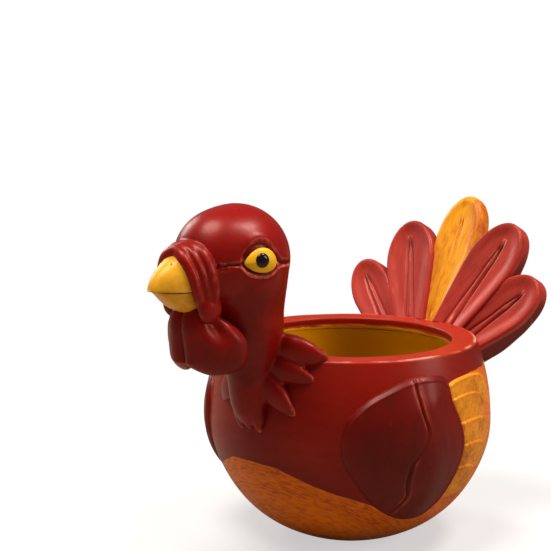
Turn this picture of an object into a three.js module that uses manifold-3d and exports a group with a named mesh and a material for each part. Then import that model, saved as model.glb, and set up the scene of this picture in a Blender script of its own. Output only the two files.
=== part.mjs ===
// Turkey figure: a round pot with a bird's head and neck at the front, a wing and a
// row of flank scales on each side, and a fan of five tail feathers at the back.
// Millimetres, +Z up. The origin is the centre of the foot, and the bird faces -Y.
import * as THREE from 'three';
import { mergeVertices } from 'three/addons/utils/BufferGeometryUtils.js';
import Module from 'manifold-3d';

const wasm = await Module();
wasm.setup();

// Driving dimensions of the pot
const potRadius = 73.5;
const potHeight = 103;
const bellyHeight = 58.7;
const bellyDepth = 62.3;
const shoulderReach = 96;
const rimChamfer = 0.8;
const rimWidth = 12;
const lipDepth = 6;
const wallThickness = 8;
const liningThickness = 2.5;
const floorThickness = 8;
const collarDepth = 13;
const glueGap = 0.3;
const overrun = 30;
const potSides = 40;
const potSteps = 9;

// Driving dimensions of the head, the neck and the bib of feathers below it
const headRadius = 26.4;
const headOut = 18.2;
const headRise = 49.9;
const bibDrop = 37;
const headSides = 20;

// Driving dimensions of the beak and the skin around it
const beakReach = 29;
const beakSink = 6.9;
const beakHalfWidth = 11.5;
const beakHeight = 26.4;
const mouthDrop = 9.7;
const foldRadius = 3;
const jowlLength = 15;
const jowlHalfWidth = 6.9;
const jowlHalfDepth = 4.5;
const wattleLength = 34;
const wattleHalfWidth = 15.5;
const wattleDepth = 15;

// Driving dimensions of an eye
const eyeBulge = 2.2;
const pupilRadius = 3.1;
const pupilBulge = 1.2;
const lidRadius = 1.7;
const browRadius = 2.1;

// Driving dimensions of a wing, the flank scales and the neck tufts
const wingHeight = 74;
const wingFoot = 20;
const wingThickness = 4;
const creaseStep = 1;
const scaleThickness = 2.6;
const scaleDrop = 3.5;
const tuftHeight = 5.5;

// Driving dimensions of the tail fan
const tailStandOff = 3.4;
const tailHubDepth = 35;
const featherLength = 111.2;
const featherHalfWidth = 15.8;
const featherThickness = 11;
const featherSetBack = 2;
const featherBevel = 1.3;
const featherLip = 2.6;
const dishDepth = 1.1;
const quillWidth = 2.6;
const covertThickness = 6;
const rootHalfWidth = 34;
const rootHeight = 20;
const rootDepth = 12;

// Angles, in degrees
const tailTiltDegrees = 27;

// Materials, one for each painted colour
const paints = {
  bodyRed: { color: 0x7a1410, roughness: 0.42, metalness: 0 },
  headRed: { color: 0x8e1a16, roughness: 0.38, metalness: 0 },
  orange: { color: 0xc8741c, roughness: 0.5, metalness: 0 },
  scaleYellow: { color: 0xd8932a, roughness: 0.5, metalness: 0 },
  ochre: { color: 0xb5801c, roughness: 0.55, metalness: 0 },
  beakYellow: { color: 0xe0a030, roughness: 0.4, metalness: 0 },
  eyeYellow: { color: 0xf0b21c, roughness: 0.3, metalness: 0 },
  black: { color: 0x0c0a0a, roughness: 0.2, metalness: 0 },
  featherRed: { color: 0xa02a24, roughness: 0.45, metalness: 0 },
  featherYellow: { color: 0xe09a24, roughness: 0.45, metalness: 0 },
};

const object = new THREE.Group();

// Joins and cuts

function toSolid(geometry) {
  const bare = geometry.clone();
  bare.deleteAttribute('normal');
  bare.deleteAttribute('uv');
  const merged = mergeVertices(bare);
  const index = merged.index.array;
  const points = merged.attributes.position;
  let sixVolumes = 0;
  const corners = [new THREE.Vector3(), new THREE.Vector3(), new THREE.Vector3()];
  for (let i = 0; i < index.length; i += corners.length) {
    corners.forEach((corner, k) => corner.fromBufferAttribute(points, index[i + k]));
    sixVolumes += corners[0].dot(corners[1].cross(corners[2]));
  }
  const triangles = Uint32Array.from(index);
  if (sixVolumes < 0) triangles.reverse();
  return new wasm.Manifold(
    new wasm.Mesh({ numProp: 3, vertProperties: points.array, triVerts: triangles }),
  );
}

function toGeometry(solid) {
  const mesh = solid.getMesh();
  const geometry = new THREE.BufferGeometry();
  geometry.setAttribute('position', new THREE.Float32BufferAttribute(mesh.vertProperties, 3));
  geometry.setIndex(Array.from(mesh.triVerts));
  return geometry;
}

function join(solids) {
  return solids.reduce((sum, solid) => sum.add(solid));
}

function cut(solid, cutters) {
  return cutters.reduce((rest, cutter) => rest.subtract(cutter), solid);
}

// The largest body of a solid that a cut may have left with loose crumbs
function largest(solid) {
  const pieces = solid.decompose();
  return pieces.reduce((best, piece) => (piece.volume() > best.volume() ? piece : best));
}

function mirrored(geometry) {
  const twin = geometry.clone();
  twin.scale(-1, 1, 1);
  twin.setIndex(Array.from(twin.index.array).reverse());
  return twin;
}

function place(name, solid, paint) {
  return placeGeometry(name, toGeometry(largest(solid)), paint);
}

function placeGeometry(name, geometry, paint) {
  const mesh = new THREE.Mesh(geometry, new THREE.MeshStandardMaterial(paints[paint]));
  mesh.name = name;
  object.add(mesh);
}

// A left piece and its mirror image on the right
function placePair(name, solid, paint) {
  const geometry = toGeometry(largest(solid));
  placeGeometry(`left_${name}`, geometry, paint);
  placeGeometry(`right_${name}`, mirrored(geometry), paint);
}

// Closed skins from rings of points. A ring of one point is a pole.
function loft(rings) {
  const starts = [];
  const points = [];
  for (const ring of rings) {
    starts.push(points.length);
    points.push(...ring);
  }
  const index = [];
  for (let i = 0; i + 1 < rings.length; i += 1) {
    const sides = Math.max(rings[i].length, rings[i + 1].length);
    for (let k = 0; k < sides; k += 1) {
      const next = (k + 1) % sides;
      const [a, b] = [k, next].map((n) => starts[i] + (rings[i].length > 1 ? n : 0));
      const [c, d] = [k, next].map((n) => starts[i + 1] + (rings[i + 1].length > 1 ? n : 0));
      if (a !== b) index.push(a, b, c);
      if (c !== d) index.push(b, d, c);
    }
  }
  const geometry = new THREE.BufferGeometry();
  geometry.setFromPoints(points);
  geometry.setIndex(index);
  return toSolid(geometry);
}

// A rounded lobe along a curve, flat across one direction. Its half sizes along the way
// are shares of a half width and a half height.
function lobe({ route, widthShares, heightShares, halfWidth, halfHeight, flat, sides, steps }) {
  const curve = new THREE.CatmullRomCurve3(route);
  const [widths, heights] = [widthShares, heightShares].map((shares) => new THREE.SplineCurve(
    shares.map((share, i) => new THREE.Vector2(i, share)),
  ));
  const rings = [[curve.getPoint(0)]];
  for (let i = 1; i < steps; i += 1) {
    const along = (1 - Math.cos((Math.PI * i) / steps)) / 2;
    const centre = curve.getPoint(along);
    const side = new THREE.Vector3().crossVectors(curve.getTangent(along), flat).normalize();
    const up = new THREE.Vector3().crossVectors(side, curve.getTangent(along)).normalize();
    const width = widths.getPoint(along).y * halfWidth;
    const height = heights.getPoint(along).y * halfHeight;
    const ring = [];
    for (let k = 0; k < sides; k += 1) {
      const turn = (2 * Math.PI * k) / sides;
      ring.push(
        centre.clone()
          .addScaledVector(side, width * Math.cos(turn))
          .addScaledVector(up, height * Math.sin(turn)),
      );
    }
    rings.push(ring);
  }
  rings.push([curve.getPoint(1)]);
  return loft(rings);
}

// A round ridge along a curve, with its radius as shares from end to end
function ridge(route, radius, taperShares, flat, steps) {
  return lobe({
    route,
    widthShares: taperShares,
    heightShares: taperShares,
    halfWidth: radius,
    halfHeight: radius,
    flat,
    sides: 6,
    steps,
  });
}

// A pad on a curved surface. The surface gives a point for two places and a lift, the
// outline is a closed line of such places, and the profile is the lift over the pad.
const padRingShares = [0.6, 0.9, 1];

function pad({ surface, outline, sink, profile, points, swellShare = 0 }) {
  const line = new THREE.CatmullRomCurve3(
    outline.map(([u, v]) => new THREE.Vector3(u, v, 0)),
    true,
  ).getPoints(points).slice(0, points);
  const middle = line.reduce((sum, p) => sum.add(p), new THREE.Vector3()).divideScalar(points);
  const at = (p, share, lift) => {
    const spot = middle.clone().lerp(p, share * (1 + swellShare));
    return surface(spot.x, spot.y, lift);
  };
  const rings = [[surface(middle.x, middle.y, profile(0, middle))]];
  for (const share of padRingShares) {
    rings.push(line.map((p) => at(p, share, profile(share, middle.clone().lerp(p, share)))));
  }
  rings.push(line.map((p) => at(p, 1, -sink)));
  rings.push([surface(middle.x, middle.y, -sink)]);
  return loft(rings);
}

// A plate: an outline of points in a plane, thick along the plane's normal
function plate(points, thickness, bevel = 0) {
  const shape = new THREE.Shape(points);
  const depth = thickness - 2 * bevel;
  const geometry = new THREE.ExtrudeGeometry(shape, {
    depth,
    bevelEnabled: bevel > 0,
    bevelThickness: bevel,
    bevelSize: bevel,
    bevelOffset: -bevel,
    bevelSegments: 1,
    steps: 1,
  });
  geometry.translate(0, 0, bevel);
  return geometry;
}

// An outline moved outwards by a distance, or inwards by a negative one
function grown(points, distance) {
  const sign = THREE.ShapeUtils.area(points) > 0 ? 1 : -1;
  return points.map((p, i) => {
    const before = points[(i + points.length - 1) % points.length];
    const after = points[(i + 1) % points.length];
    const way = after.clone().sub(before).normalize();
    return new THREE.Vector2(p.x + way.y * sign * distance, p.y - way.x * sign * distance);
  });
}

// The pot

function potOuter(z) {
  const reach = z < bellyHeight ? bellyDepth : shoulderReach;
  const share = (z - bellyHeight) / reach;
  return potRadius * Math.sqrt(1 - share * share);
}

const rimRadius = potOuter(potHeight - rimChamfer) - rimChamfer;
const mouthRadius = rimRadius - rimWidth;
const lipFoot = potHeight - lipDepth;
const cavityRadius = potRadius - wallThickness;

// Radius of the hollow at a height, or of a surface that lies outside it by an offset
function potInner(z, offset) {
  const widest = cavityRadius + offset;
  const mouthShare = (mouthRadius + offset) / widest;
  const above = (lipFoot - bellyHeight) / Math.sqrt(1 - mouthShare * mouthShare);
  const reach = z < bellyHeight ? bellyDepth - wallThickness + offset : above;
  const share = (z - bellyHeight) / reach;
  return widest * Math.sqrt(Math.max(0, 1 - share * share));
}

// Heights from one level to another, evenly spread round the pot's curve
function levels(from, to) {
  const reachAt = (side) => (side < 0 ? bellyDepth : shoulderReach);
  const [start, end] = [from, to]
    .map((z) => z - bellyHeight)
    .map((rise) => Math.asin(rise / reachAt(rise)));
  const list = [];
  for (let i = 0; i <= potSteps; i += 1) {
    const turn = start + ((end - start) * i) / potSteps;
    list.push(bellyHeight + reachAt(turn) * Math.sin(turn));
  }
  return list;
}

function turned(profile) {
  const points = profile.map(([radius, z]) => new THREE.Vector2(radius, z));
  const geometry = new THREE.LatheGeometry(points, potSides);
  geometry.rotateX(Math.PI / 2);
  return toSolid(geometry);
}

// The pot as a filled solid, larger all round by a clearance
function filledPot(clearance) {
  const top = potHeight + clearance;
  const outer = levels(0, potHeight - rimChamfer).map((z) => [potOuter(z) + clearance, z]);
  return turned([
    [0, -overrun],
    [potOuter(0) + clearance, -overrun],
    ...outer,
    [rimRadius + clearance, top],
    [0, top],
  ]);
}

function shell() {
  const offset = liningThickness + glueGap;
  const inner = levels(floorThickness - offset, lipFoot).map((z) => [potInner(z, offset), z]);
  const outer = levels(0, potHeight - rimChamfer).map((z) => [potOuter(z), z]);
  return turned([
    [0, 0],
    ...outer,
    [rimRadius, potHeight],
    [mouthRadius, potHeight],
    [mouthRadius, lipFoot],
    ...inner.reverse(),
    [0, floorThickness - offset],
  ]);
}

function lining() {
  const top = lipFoot - glueGap;
  const foot = floorThickness - liningThickness;
  const outer = levels(foot, top).map((z) => [potInner(z, liningThickness), z]);
  const inner = levels(floorThickness, top).map((z) => [potInner(z, 0), z]);
  return turned([[0, foot], ...outer, ...inner.reverse(), [0, floorThickness]]);
}

// Side view of the line where the red of the chest and collar meets the orange of the
// belly and back, from the chest down under the wing: shares of radius and height
const paintLineShares = [
  [-1.3, 0.66], [-0.98, 0.457], [-0.89, 0.411], [-0.727, 0.344], [-0.48, 0.257],
  [-0.315, 0.209], [-0.12, 0.24], [0.02, 0.32],
];

function redZone(clearance) {
  const front = new THREE.SplineCurve(
    paintLineShares.map(([y, z]) => new THREE.Vector2(y * potRadius, z * potHeight)),
  ).getPoints(paintLineShares.length * 2);
  const seam = front[front.length - 1];
  const far = potRadius + overrun;
  const top = potHeight + overrun;
  const collar = potHeight - collarDepth;
  const outline = [
    ...front,
    new THREE.Vector2(seam.x, collar),
    new THREE.Vector2(far, collar),
    new THREE.Vector2(far, top),
    new THREE.Vector2(-far, top),
  ];
  const geometry = plate(grown(outline, clearance), 2 * far);
  geometry.translate(0, 0, -far);
  geometry.applyMatrix4(
    new THREE.Matrix4().makeBasis(
      new THREE.Vector3(0, 1, 0), new THREE.Vector3(0, 0, 1), new THREE.Vector3(1, 0, 0),
    ),
  );
  return toSolid(geometry);
}

// A point on the outside of the pot, at an angle from the front towards the bird's left
// and a height, lifted along the surface's normal
function onPot(degrees, z, lift) {
  const reach = z < bellyHeight ? bellyDepth : shoulderReach;
  const radius = potOuter(z);
  const slope = (potRadius * potRadius * (z - bellyHeight)) / (reach * reach * radius);
  const normal = new THREE.Vector2(1, slope).normalize();
  const out = radius + lift * normal.x;
  const turn = THREE.MathUtils.degToRad(degrees);
  return new THREE.Vector3(out * Math.sin(turn), -out * Math.cos(turn), z + lift * normal.y);
}

// Head and neck

const headCentre = new THREE.Vector3(0, -rimRadius - headOut, potHeight + headRise);

function onHead(degrees, rise, lift) {
  const turn = THREE.MathUtils.degToRad(degrees);
  const tilt = THREE.MathUtils.degToRad(rise);
  const out = headRadius + lift;
  return headCentre.clone().add(new THREE.Vector3(
    out * Math.sin(turn) * Math.cos(tilt),
    -out * Math.cos(turn) * Math.cos(tilt),
    out * Math.sin(tilt),
  ));
}

// Neck sections from the head down to the tip of the bib: rise as a share of the head's
// rise above the rim, or of the bib's drop below it, distance of the section's axis from
// the rim as a share of the head's, then half width, front and back as shares of the
// head's radius
const neckShares = [
  [0.8, 0.985, 0.955, 0.955, 0.955],
  [0.7, 0.96, 0.91, 0.91, 0.92],
  [0.6, 0.915, 0.865, 0.86, 0.87],
  [0.48, 0.83, 0.805, 0.8, 0.8],
  [0.34, 0.76, 0.765, 0.74, 0.765],
  [0.18, 0.66, 0.69, 0.6, 0.68],
  [0.02, 0.58, 0.59, 0.47, 0.61],
  [-0.2, 0.52, 0.47, 0.42, 0.54],
  [-0.42, 0.5, 0.42, 0.36, 0.5],
  [-0.62, 0.5, 0.4, 0.32, 0.45],
  [-0.8, 0.5, 0.28, 0.22, 0.35],
];
const headFootDegrees = -12;
const headRings = 7;

function headAndNeck(clearance) {
  const rings = [[headCentre.clone().add(new THREE.Vector3(0, 0, headRadius + clearance))]];
  const ringAt = (y, z, half, front, back) => {
    const ring = [];
    for (let k = 0; k < headSides; k += 1) {
      const turn = (2 * Math.PI * k) / headSides;
      const deep = Math.cos(turn) > 0 ? front : back;
      ring.push(new THREE.Vector3(
        (half + clearance) * Math.sin(turn),
        y - (deep + clearance) * Math.cos(turn),
        z,
      ));
    }
    return ring;
  };
  for (let i = 1; i <= headRings; i += 1) {
    const tilt = 90 + ((headFootDegrees - 90) * i) / headRings;
    const turn = THREE.MathUtils.degToRad(tilt);
    const radius = headRadius * Math.cos(turn);
    const z = headCentre.z + (headRadius + clearance) * Math.sin(turn);
    rings.push(ringAt(headCentre.y, z, radius, radius, radius));
  }
  const curves = [1, 2, 3, 4].map((column) => new THREE.SplineCurve(
    neckShares.map((row) => new THREE.Vector2(row[0], row[column])),
  ));
  const steps = neckShares.length + 2;
  for (let i = 0; i <= steps; i += 1) {
    const [axis, half, front, back] = curves.map((curve) => curve.getPoint(i / steps).y);
    const share = curves[0].getPoint(i / steps).x;
    const z = potHeight + share * (share > 0 ? headRise : bibDrop);
    rings.push(ringAt(
      -rimRadius - axis * headOut, z, half * headRadius, front * headRadius, back * headRadius,
    ));
  }
  rings.push([new THREE.Vector3(0, -rimRadius - headOut / 2, potHeight - bibDrop - clearance)]);
  return loft(rings);
}

// The face swells in front of the head by an egg, in shares of the head's radius
const faceCentreShares = [0, 0.46, 0.03];
const faceHalfShares = [0.78, 0.8, 0.87];

// Beak: it starts inside the front of the face

const faceReach = (faceCentreShares[1] + faceHalfShares[1]) * headRadius;
const beakRoot = headCentre.y - faceReach + beakSink;
const mouthHeight = headCentre.z - mouthDrop;
// Upright sections from the root to the tip: reach, top and bottom over the mouth, and
// half width, as shares of the beak's reach, height and half width
const beakShares = [
  [0.08, 0.64, -0.42, 1], [0.3, 0.65, -0.42, 1], [0.5, 0.59, -0.31, 0.88],
  [0.66, 0.48, -0.19, 0.7], [0.78, 0.37, -0.1, 0.52], [0.89, 0.24, -0.03, 0.34],
  [0.96, 0.14, 0, 0.18],
];
const beakSides = 14;

function beak(clearance) {
  const rings = beakShares.map(([reach, top, bottom, wide]) => {
    const middle = mouthHeight + ((top + bottom) * beakHeight) / 2;
    const half = ((top - bottom) * beakHeight) / 2 + clearance;
    const ring = [];
    for (let k = 0; k < beakSides; k += 1) {
      const turn = (2 * Math.PI * k) / beakSides;
      ring.push(new THREE.Vector3(
        (wide * beakHalfWidth + clearance) * Math.cos(turn),
        beakRoot - reach * beakReach,
        middle + half * Math.sin(turn),
      ));
    }
    return ring;
  });
  const root = new THREE.Vector3(0, beakRoot, mouthHeight);
  const tip = new THREE.Vector3(0, beakRoot - beakReach - clearance, mouthHeight);
  return loft([[root], ...rings, [tip]]);
}

// Everything above the mouth line, as a block
function aboveMouth(clearance) {
  const size = 2 * (headRadius + beakReach + overrun);
  const block = new THREE.BoxGeometry(size, size, size);
  block.translate(0, headCentre.y, mouthHeight + size / 2 - clearance);
  return toSolid(block);
}

// Skin around the beak: a core over the beak's root, three folds that sweep down from
// its top to the jowls, and a jowl on each side. Places are shares of the beak's half
// width sideways, of its reach forwards from its root and of its height above the mouth.
const foldShares = [
  [
    [0, 0.375, 0.625], [0.505, 0.41, 0.52], [0.895, 0.365, 0.237], [1.02, 0.3, -0.133],
    [0.93, 0.21, -0.453],
  ],
  [
    [0, 0.273, 0.667], [0.62, 0.268, 0.577], [1.056, 0.215, 0.267], [1.148, 0.135, -0.143],
    [0.964, 0.1, -0.493],
  ],
  [
    [0, 0.173, 0.677], [0.758, 0.16, 0.597], [1.194, 0.12, 0.297], [1.263, 0.05, -0.123],
    [1.033, 0.04, -0.503],
  ],
];
const foldTaperShares = [0.5, 0.95, 1, 1, 1, 0.95, 0.5];

function aroundBeak([side, forward, up]) {
  return new THREE.Vector3(
    side * beakHalfWidth,
    beakRoot - forward * beakReach,
    mouthHeight + up * beakHeight,
  );
}

function aroundHead([side, forward, up]) {
  return headCentre.clone().add(
    new THREE.Vector3(side, -forward, up).multiplyScalar(headRadius),
  );
}

function fold(shares, clearance) {
  const left = shares.map(aroundBeak);
  const right = left.slice(1).map((p) => new THREE.Vector3(-p.x, p.y, p.z));
  const route = [...right.reverse(), ...left];
  const forwards = new THREE.Vector3(0, 1, 0);
  return ridge(route, foldRadius + clearance, foldTaperShares, forwards, 11);
}

// An egg round a centre in the middle plane, from its half sizes
function egg(centre, halves, clearance) {
  const ball = new THREE.SphereGeometry(1, 14, 8);
  const [x, y, z] = halves.map((half) => half + clearance);
  ball.scale(x, y, z);
  ball.translate(centre.x, centre.y, centre.z);
  return toSolid(ball);
}

// The egg over the beak's root, in shares as for the folds
const beakRootShares = [0, 0.091, 0.167];
const beakRootHalfShares = [1.056, 0.328, 0.54];

function head(clearance) {
  const halves = faceHalfShares.map((share) => share * headRadius);
  return join([headAndNeck(clearance), egg(aroundHead(faceCentreShares), halves, clearance)]);
}

function cowl(clearance) {
  const folds = foldShares.map((shares) => fold(shares, clearance));
  const [wide, deep, tall] = beakRootHalfShares;
  const halves = [wide * beakHalfWidth, deep * beakReach, tall * beakHeight];
  return join([egg(aroundBeak(beakRootShares), halves, clearance), ...folds]);
}

// The middle line of a jowl: places as for the folds, then down as a share of its length
const jowlShares = [
  [1.079, 0.107, 0], [1.125, 0.08, 0.26], [1.079, 0.053, 0.65], [0.918, 0.034, 1],
];
const jowlTopShare = -0.083;
const jowlTaperShares = [0.8, 1, 0.95, 0.4];

function jowl(clearance) {
  return lobe({
    route: jowlShares.map(([side, forward, down]) => (
      aroundBeak([side, forward, jowlTopShare]).add(new THREE.Vector3(0, 0, -jowlLength * down))
    )),
    widthShares: jowlTaperShares,
    heightShares: jowlTaperShares,
    halfWidth: jowlHalfWidth + clearance,
    halfHeight: jowlHalfDepth + clearance,
    flat: new THREE.Vector3(1, 0, 0),
    sides: 10,
    steps: 7,
  });
}

// Wattle: two flat lobes that hang from the chin and lie round the front of the neck.
// Places are shares of a lobe's half width, sideways and forwards from the throat, and of
// its length down from the chin. Chin and throat are shares of the head's radius.
const wattleShares = [[0.3, 0.9, 0], [0.42, 0.78, 0.3], [0.68, 0.42, 0.7], [0.72, 0.36, 1]];
const wattleWidthShares = [0.5, 0.72, 1, 0.5];
const wattleDepthShares = [0.6, 0.9, 1, 0.5];
const chinShare = 0.7;
const throatShare = 0.62;

function wattle() {
  const top = aroundHead([0, throatShare, -chinShare]);
  return lobe({
    route: wattleShares.map(([side, forward, down]) => top.clone().add(new THREE.Vector3(
      side * wattleHalfWidth,
      -forward * wattleHalfWidth,
      -down * wattleLength,
    ))),
    widthShares: wattleWidthShares,
    heightShares: wattleDepthShares,
    halfWidth: wattleHalfWidth,
    halfHeight: wattleDepth / 2,
    flat: new THREE.Vector3(0.78, -0.62, 0),
    sides: 12,
    steps: 8,
  });
}

// A box on the bird's right of the middle plane, to cut a left piece back to its gap
function rightHalf() {
  const size = 2 * (potHeight + headRise + headRadius + overrun);
  const box = new THREE.BoxGeometry(size, size, size);
  box.translate(glueGap / 2 - size / 2, 0, 0);
  return toSolid(box);
}

// Eye, pupil and lids, in degrees around the head and up from its middle
const eyeOutlineDegrees = [
  [55, 2], [62, 12], [71, 17], [81, 14], [89, 4], [83, -4], [74, -7], [63, -5],
];
const browDegrees = [[50, 5], [57, 16], [66, 21.5], [77, 22.5], [87, 17], [95, 7]];
const lidDegrees = [[50, -2], [60, -8.5], [70, -11.5], [79, -11], [88, -6.5], [96, 0]];
const pupilDegrees = [72, 6];
const eyePoints = 16;
const pupilPoints = 12;
const lidTaperShares = [0.35, 0.9, 1, 0.9, 0.35];

function dome(height) {
  return (share) => height * Math.sqrt(Math.max(0, 1 - Math.pow(share, 3)));
}

function eye(clearance) {
  return pad({
    surface: onHead,
    outline: eyeOutlineDegrees,
    sink: eyeBulge,
    profile: dome(eyeBulge + clearance),
    points: eyePoints,
    swellShare: (clearance * 2) / headRadius,
  });
}

function pupil() {
  const spread = THREE.MathUtils.radToDeg(pupilRadius / headRadius);
  const outline = [];
  for (let k = 0; k < 8; k += 1) {
    const turn = (Math.PI * k) / 4;
    outline.push([
      pupilDegrees[0] + spread * Math.cos(turn),
      pupilDegrees[1] + spread * Math.sin(turn),
    ]);
  }
  return pad({
    surface: onHead,
    outline,
    sink: 0,
    profile: dome(eyeBulge + pupilBulge),
    points: pupilPoints,
  });
}

function lid(line, radius) {
  const route = line.map(([turn, rise]) => onHead(turn, rise, 0));
  return ridge(route, radius, lidTaperShares, new THREE.Vector3(0, 0, 1), 8);
}

// Wing: an outline in degrees around the pot and shares of the wing's height
const wingOutlineShares = [
  [82, 1], [71, 1], [62, 0.946], [53.5, 0.9], [46.5, 0.84], [41.5, 0.75], [39.2, 0.66],
  [38.8, 0.57], [39.8, 0.47], [43, 0.365], [47, 0.24], [53, 0.12], [63.6, 0.04], [74, 0],
  [83, 0.02], [88, 0.12], [90.5, 0.31], [93, 0.5], [92.4, 0.62], [90, 0.73], [87.4, 0.84],
  [86.6, 0.92],
];
// The crease that parts the wing's shoulder from its rear panel, from top to foot
const creaseShares = [
  [70.4, 1.2], [70.5, 0.9], [71.7, 0.79], [73.5, 0.68], [73.6, 0.6], [70.5, 0.5],
  [66.4, 0.4], [66.2, 0.3], [67, 0.2], [65.6, 0.12], [62, 0.02], [60, -0.2],
];

const wingPoints = 30;

function wingPlace([degrees, share]) {
  return [degrees, wingFoot + share * wingHeight];
}

// Lift over a pad that is level nearly to its edge, as a share of the lift at its middle
function levelShare(share) {
  return Math.sqrt(Math.max(0, 1 - Math.pow(share, 8)));
}

function wing(thickness, clearance = 0) {
  return pad({
    surface: onPot,
    outline: wingOutlineShares.map(wingPlace),
    sink: wingThickness / 2,
    profile: (share) => (thickness + clearance) * levelShare(share),
    points: wingPoints,
    swellShare: (clearance * 2) / wingHeight,
  });
}

// Everything in front of the crease, as a solid that runs out along the pot's radii
function shoulderZone(clearance) {
  const spread = THREE.MathUtils.radToDeg(clearance / potRadius);
  const line = creaseShares.map(wingPlace).map(([degrees, z]) => [degrees + spread, z]);
  const forward = wingOutlineShares.reduce((least, [degrees]) => Math.min(least, degrees), 90);
  const turn = (2 * forward) / 3;
  const bands = [potRadius / 2, potRadius + overrun];
  const corner = ([degrees, z], radius) => {
    const angle = THREE.MathUtils.degToRad(degrees);
    return new THREE.Vector3(radius * Math.sin(angle), -radius * Math.cos(angle), z);
  };
  const rings = line.map(([degrees, z]) => [
    corner([turn, z], bands[0]),
    corner([degrees, z], bands[0]),
    corner([degrees, z], bands[1]),
    corner([turn, z], bands[1]),
  ]);
  const [first, last] = [line[0], line[line.length - 1]];
  const middle = (bands[0] + bands[1]) / 2;
  rings.unshift([corner([(first[0] + turn) / 2, first[1]], middle)]);
  rings.push([corner([(last[0] + turn) / 2, last[1]], middle)]);
  return loft(rings);
}

// Flank scales behind the wing: for each, its front and rear edge in degrees
const scaleEdgeDegrees = [[88, 115], [88, 109], [90, 112], [90, 110], [86, 105]];
// A scale's outline: shares of its width from its front edge and of its height from its
// top. Its height is a share of the pitch, and its foot is a share of its thickness.
const scaleOutlineShares = [
  [0.5, 0], [0.86, 0.14], [1, 0.43], [0.95, 0.86], [0.5, 1], [0.05, 0.86], [0, 0.43],
  [0.14, 0.14],
];
const scalePoints = 14;
const scalePitchShare = 0.1676;
const scalePitch = wingHeight * scalePitchShare;
const scaleHeightShare = 1.45;
const scaleFootShare = 0.35;

function scale(i, clearance = 0) {
  const [front, rear] = scaleEdgeDegrees[i];
  const top = wingFoot + wingHeight - scaleDrop - i * scalePitch;
  const height = scalePitch * scaleHeightShare;
  return pad({
    surface: onPot,
    outline: scaleOutlineShares.map(([across, down]) => [
      front + (rear - front) * across,
      top - height * down,
    ]),
    sink: scaleThickness,
    profile: (share, spot) => {
      const down = THREE.MathUtils.clamp((top - spot.y) / height, 0, 1);
      const lift = scaleThickness * THREE.MathUtils.lerp(1, scaleFootShare, down);
      return (lift + clearance) * levelShare(share);
    },
    points: scalePoints,
    swellShare: clearance / scalePitch,
  });
}

// Neck tufts, from the rim down: route points as degrees around the pot, shares of the
// bib's drop below the rim and shares of the tuft's height above the pot, then the
// tuft's half width as a share of the bib's drop
const tuftShares = [
  {
    route: [[9, -0.17, 0.6], [18, -0.13, 0.35], [26, -0.07, 0], [32.5, -0.02, -0.6]],
    half: 0.2,
  },
  {
    route: [[5, 0.05, 0.7], [12.5, 0.11, 0.5], [20.5, 0.17, 0.25], [27.5, 0.25, -0.15]],
    half: 0.16,
  },
  {
    route: [[3, 0.24, 0.8], [8.5, 0.37, 0.55], [14.5, 0.54, 0.3], [20.5, 0.73, -0.1]],
    half: 0.19,
  },
  {
    route: [[2, 0.42, 0.7], [3.6, 0.6, 0.5], [5.2, 0.78, 0.3], [5.8, 0.97, -0.1]],
    half: 0.14,
  },
];
const tuftTaperShares = [0.9, 1, 0.72, 0.16];

function tuft({ route, half }, clearance = 0) {
  const points = route.map(([degrees, drop, lift]) => {
    const z = potHeight - drop * bibDrop;
    const foot = onPot(degrees, Math.min(z, potHeight - rimChamfer), lift * tuftHeight);
    return new THREE.Vector3(foot.x, foot.y, Math.max(foot.z, z));
  });
  const out = new THREE.Vector3(points[1].x, points[1].y, 0).normalize();
  return lobe({
    route: points,
    widthShares: tuftTaperShares,
    heightShares: tuftTaperShares,
    halfWidth: half * bibDrop + clearance,
    halfHeight: tuftHeight + clearance,
    flat: out,
    sides: 8,
    steps: 7,
  });
}

// Tail fan. Its plane leans back from the rim, with the hub below the rim's top.

const fanTurn = THREE.MathUtils.degToRad(90 - tailTiltDegrees);
const fanPlace = new THREE.Matrix4()
  .makeTranslation(0, rimRadius - tailStandOff, potHeight)
  .multiply(new THREE.Matrix4().makeRotationX(fanTurn));

// Half width along a feather, from the hub to the tip, as shares of its widest
const featherWidthShares = [
  [0, 0.3], [0.2, 0.42], [0.4, 0.62], [0.6, 0.85], [0.76, 1], [0.86, 0.96], [0.94, 0.72],
  [0.985, 0.36],
];

// The feathers from the bird's right to its left, each with its angle in the fan in
// degrees, and its length from the hub, half width and step back as shares of the most
const featherShares = [
  { angle: 44, long: 0.798, wide: 0.82, back: 0.5, paint: 'featherRed' },
  { angle: 20.4, long: 0.876, wide: 1, back: 0, paint: 'featherRed' },
  { angle: 0, long: 1, wide: 0.95, back: 1, paint: 'featherYellow' },
  { angle: -21, long: 0.923, wide: 0.95, back: 0, paint: 'featherRed' },
  { angle: -41.4, long: 0.814, wide: 0.81, back: 0.5, paint: 'featherRed' },
];
// Length of the short covert feathers behind the fan, as a share of the feather in front
const covertShare = 0.66;

function featherOutline({ long, wide }, lengthShare = 1) {
  const [length, half] = [long * featherLength * lengthShare, wide * featherHalfWidth];
  const side = new THREE.SplineCurve(
    featherWidthShares.map(([along, share]) => new THREE.Vector2(share * half, along * length)),
  ).getPoints(10);
  const left = side.map((p) => new THREE.Vector2(-p.x, p.y)).reverse();
  return [...side, new THREE.Vector2(0, length), ...left];
}

// Puts a plate of the fan's plane in its place, turned about the hub and set back
function inFan(geometry, { angle, back }, lift) {
  geometry.translate(0, 0, lift);
  geometry.rotateZ(THREE.MathUtils.degToRad(angle));
  geometry.translate(0, -tailHubDepth, -back * featherSetBack);
  geometry.applyMatrix4(fanPlace);
  return toSolid(geometry);
}

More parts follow.
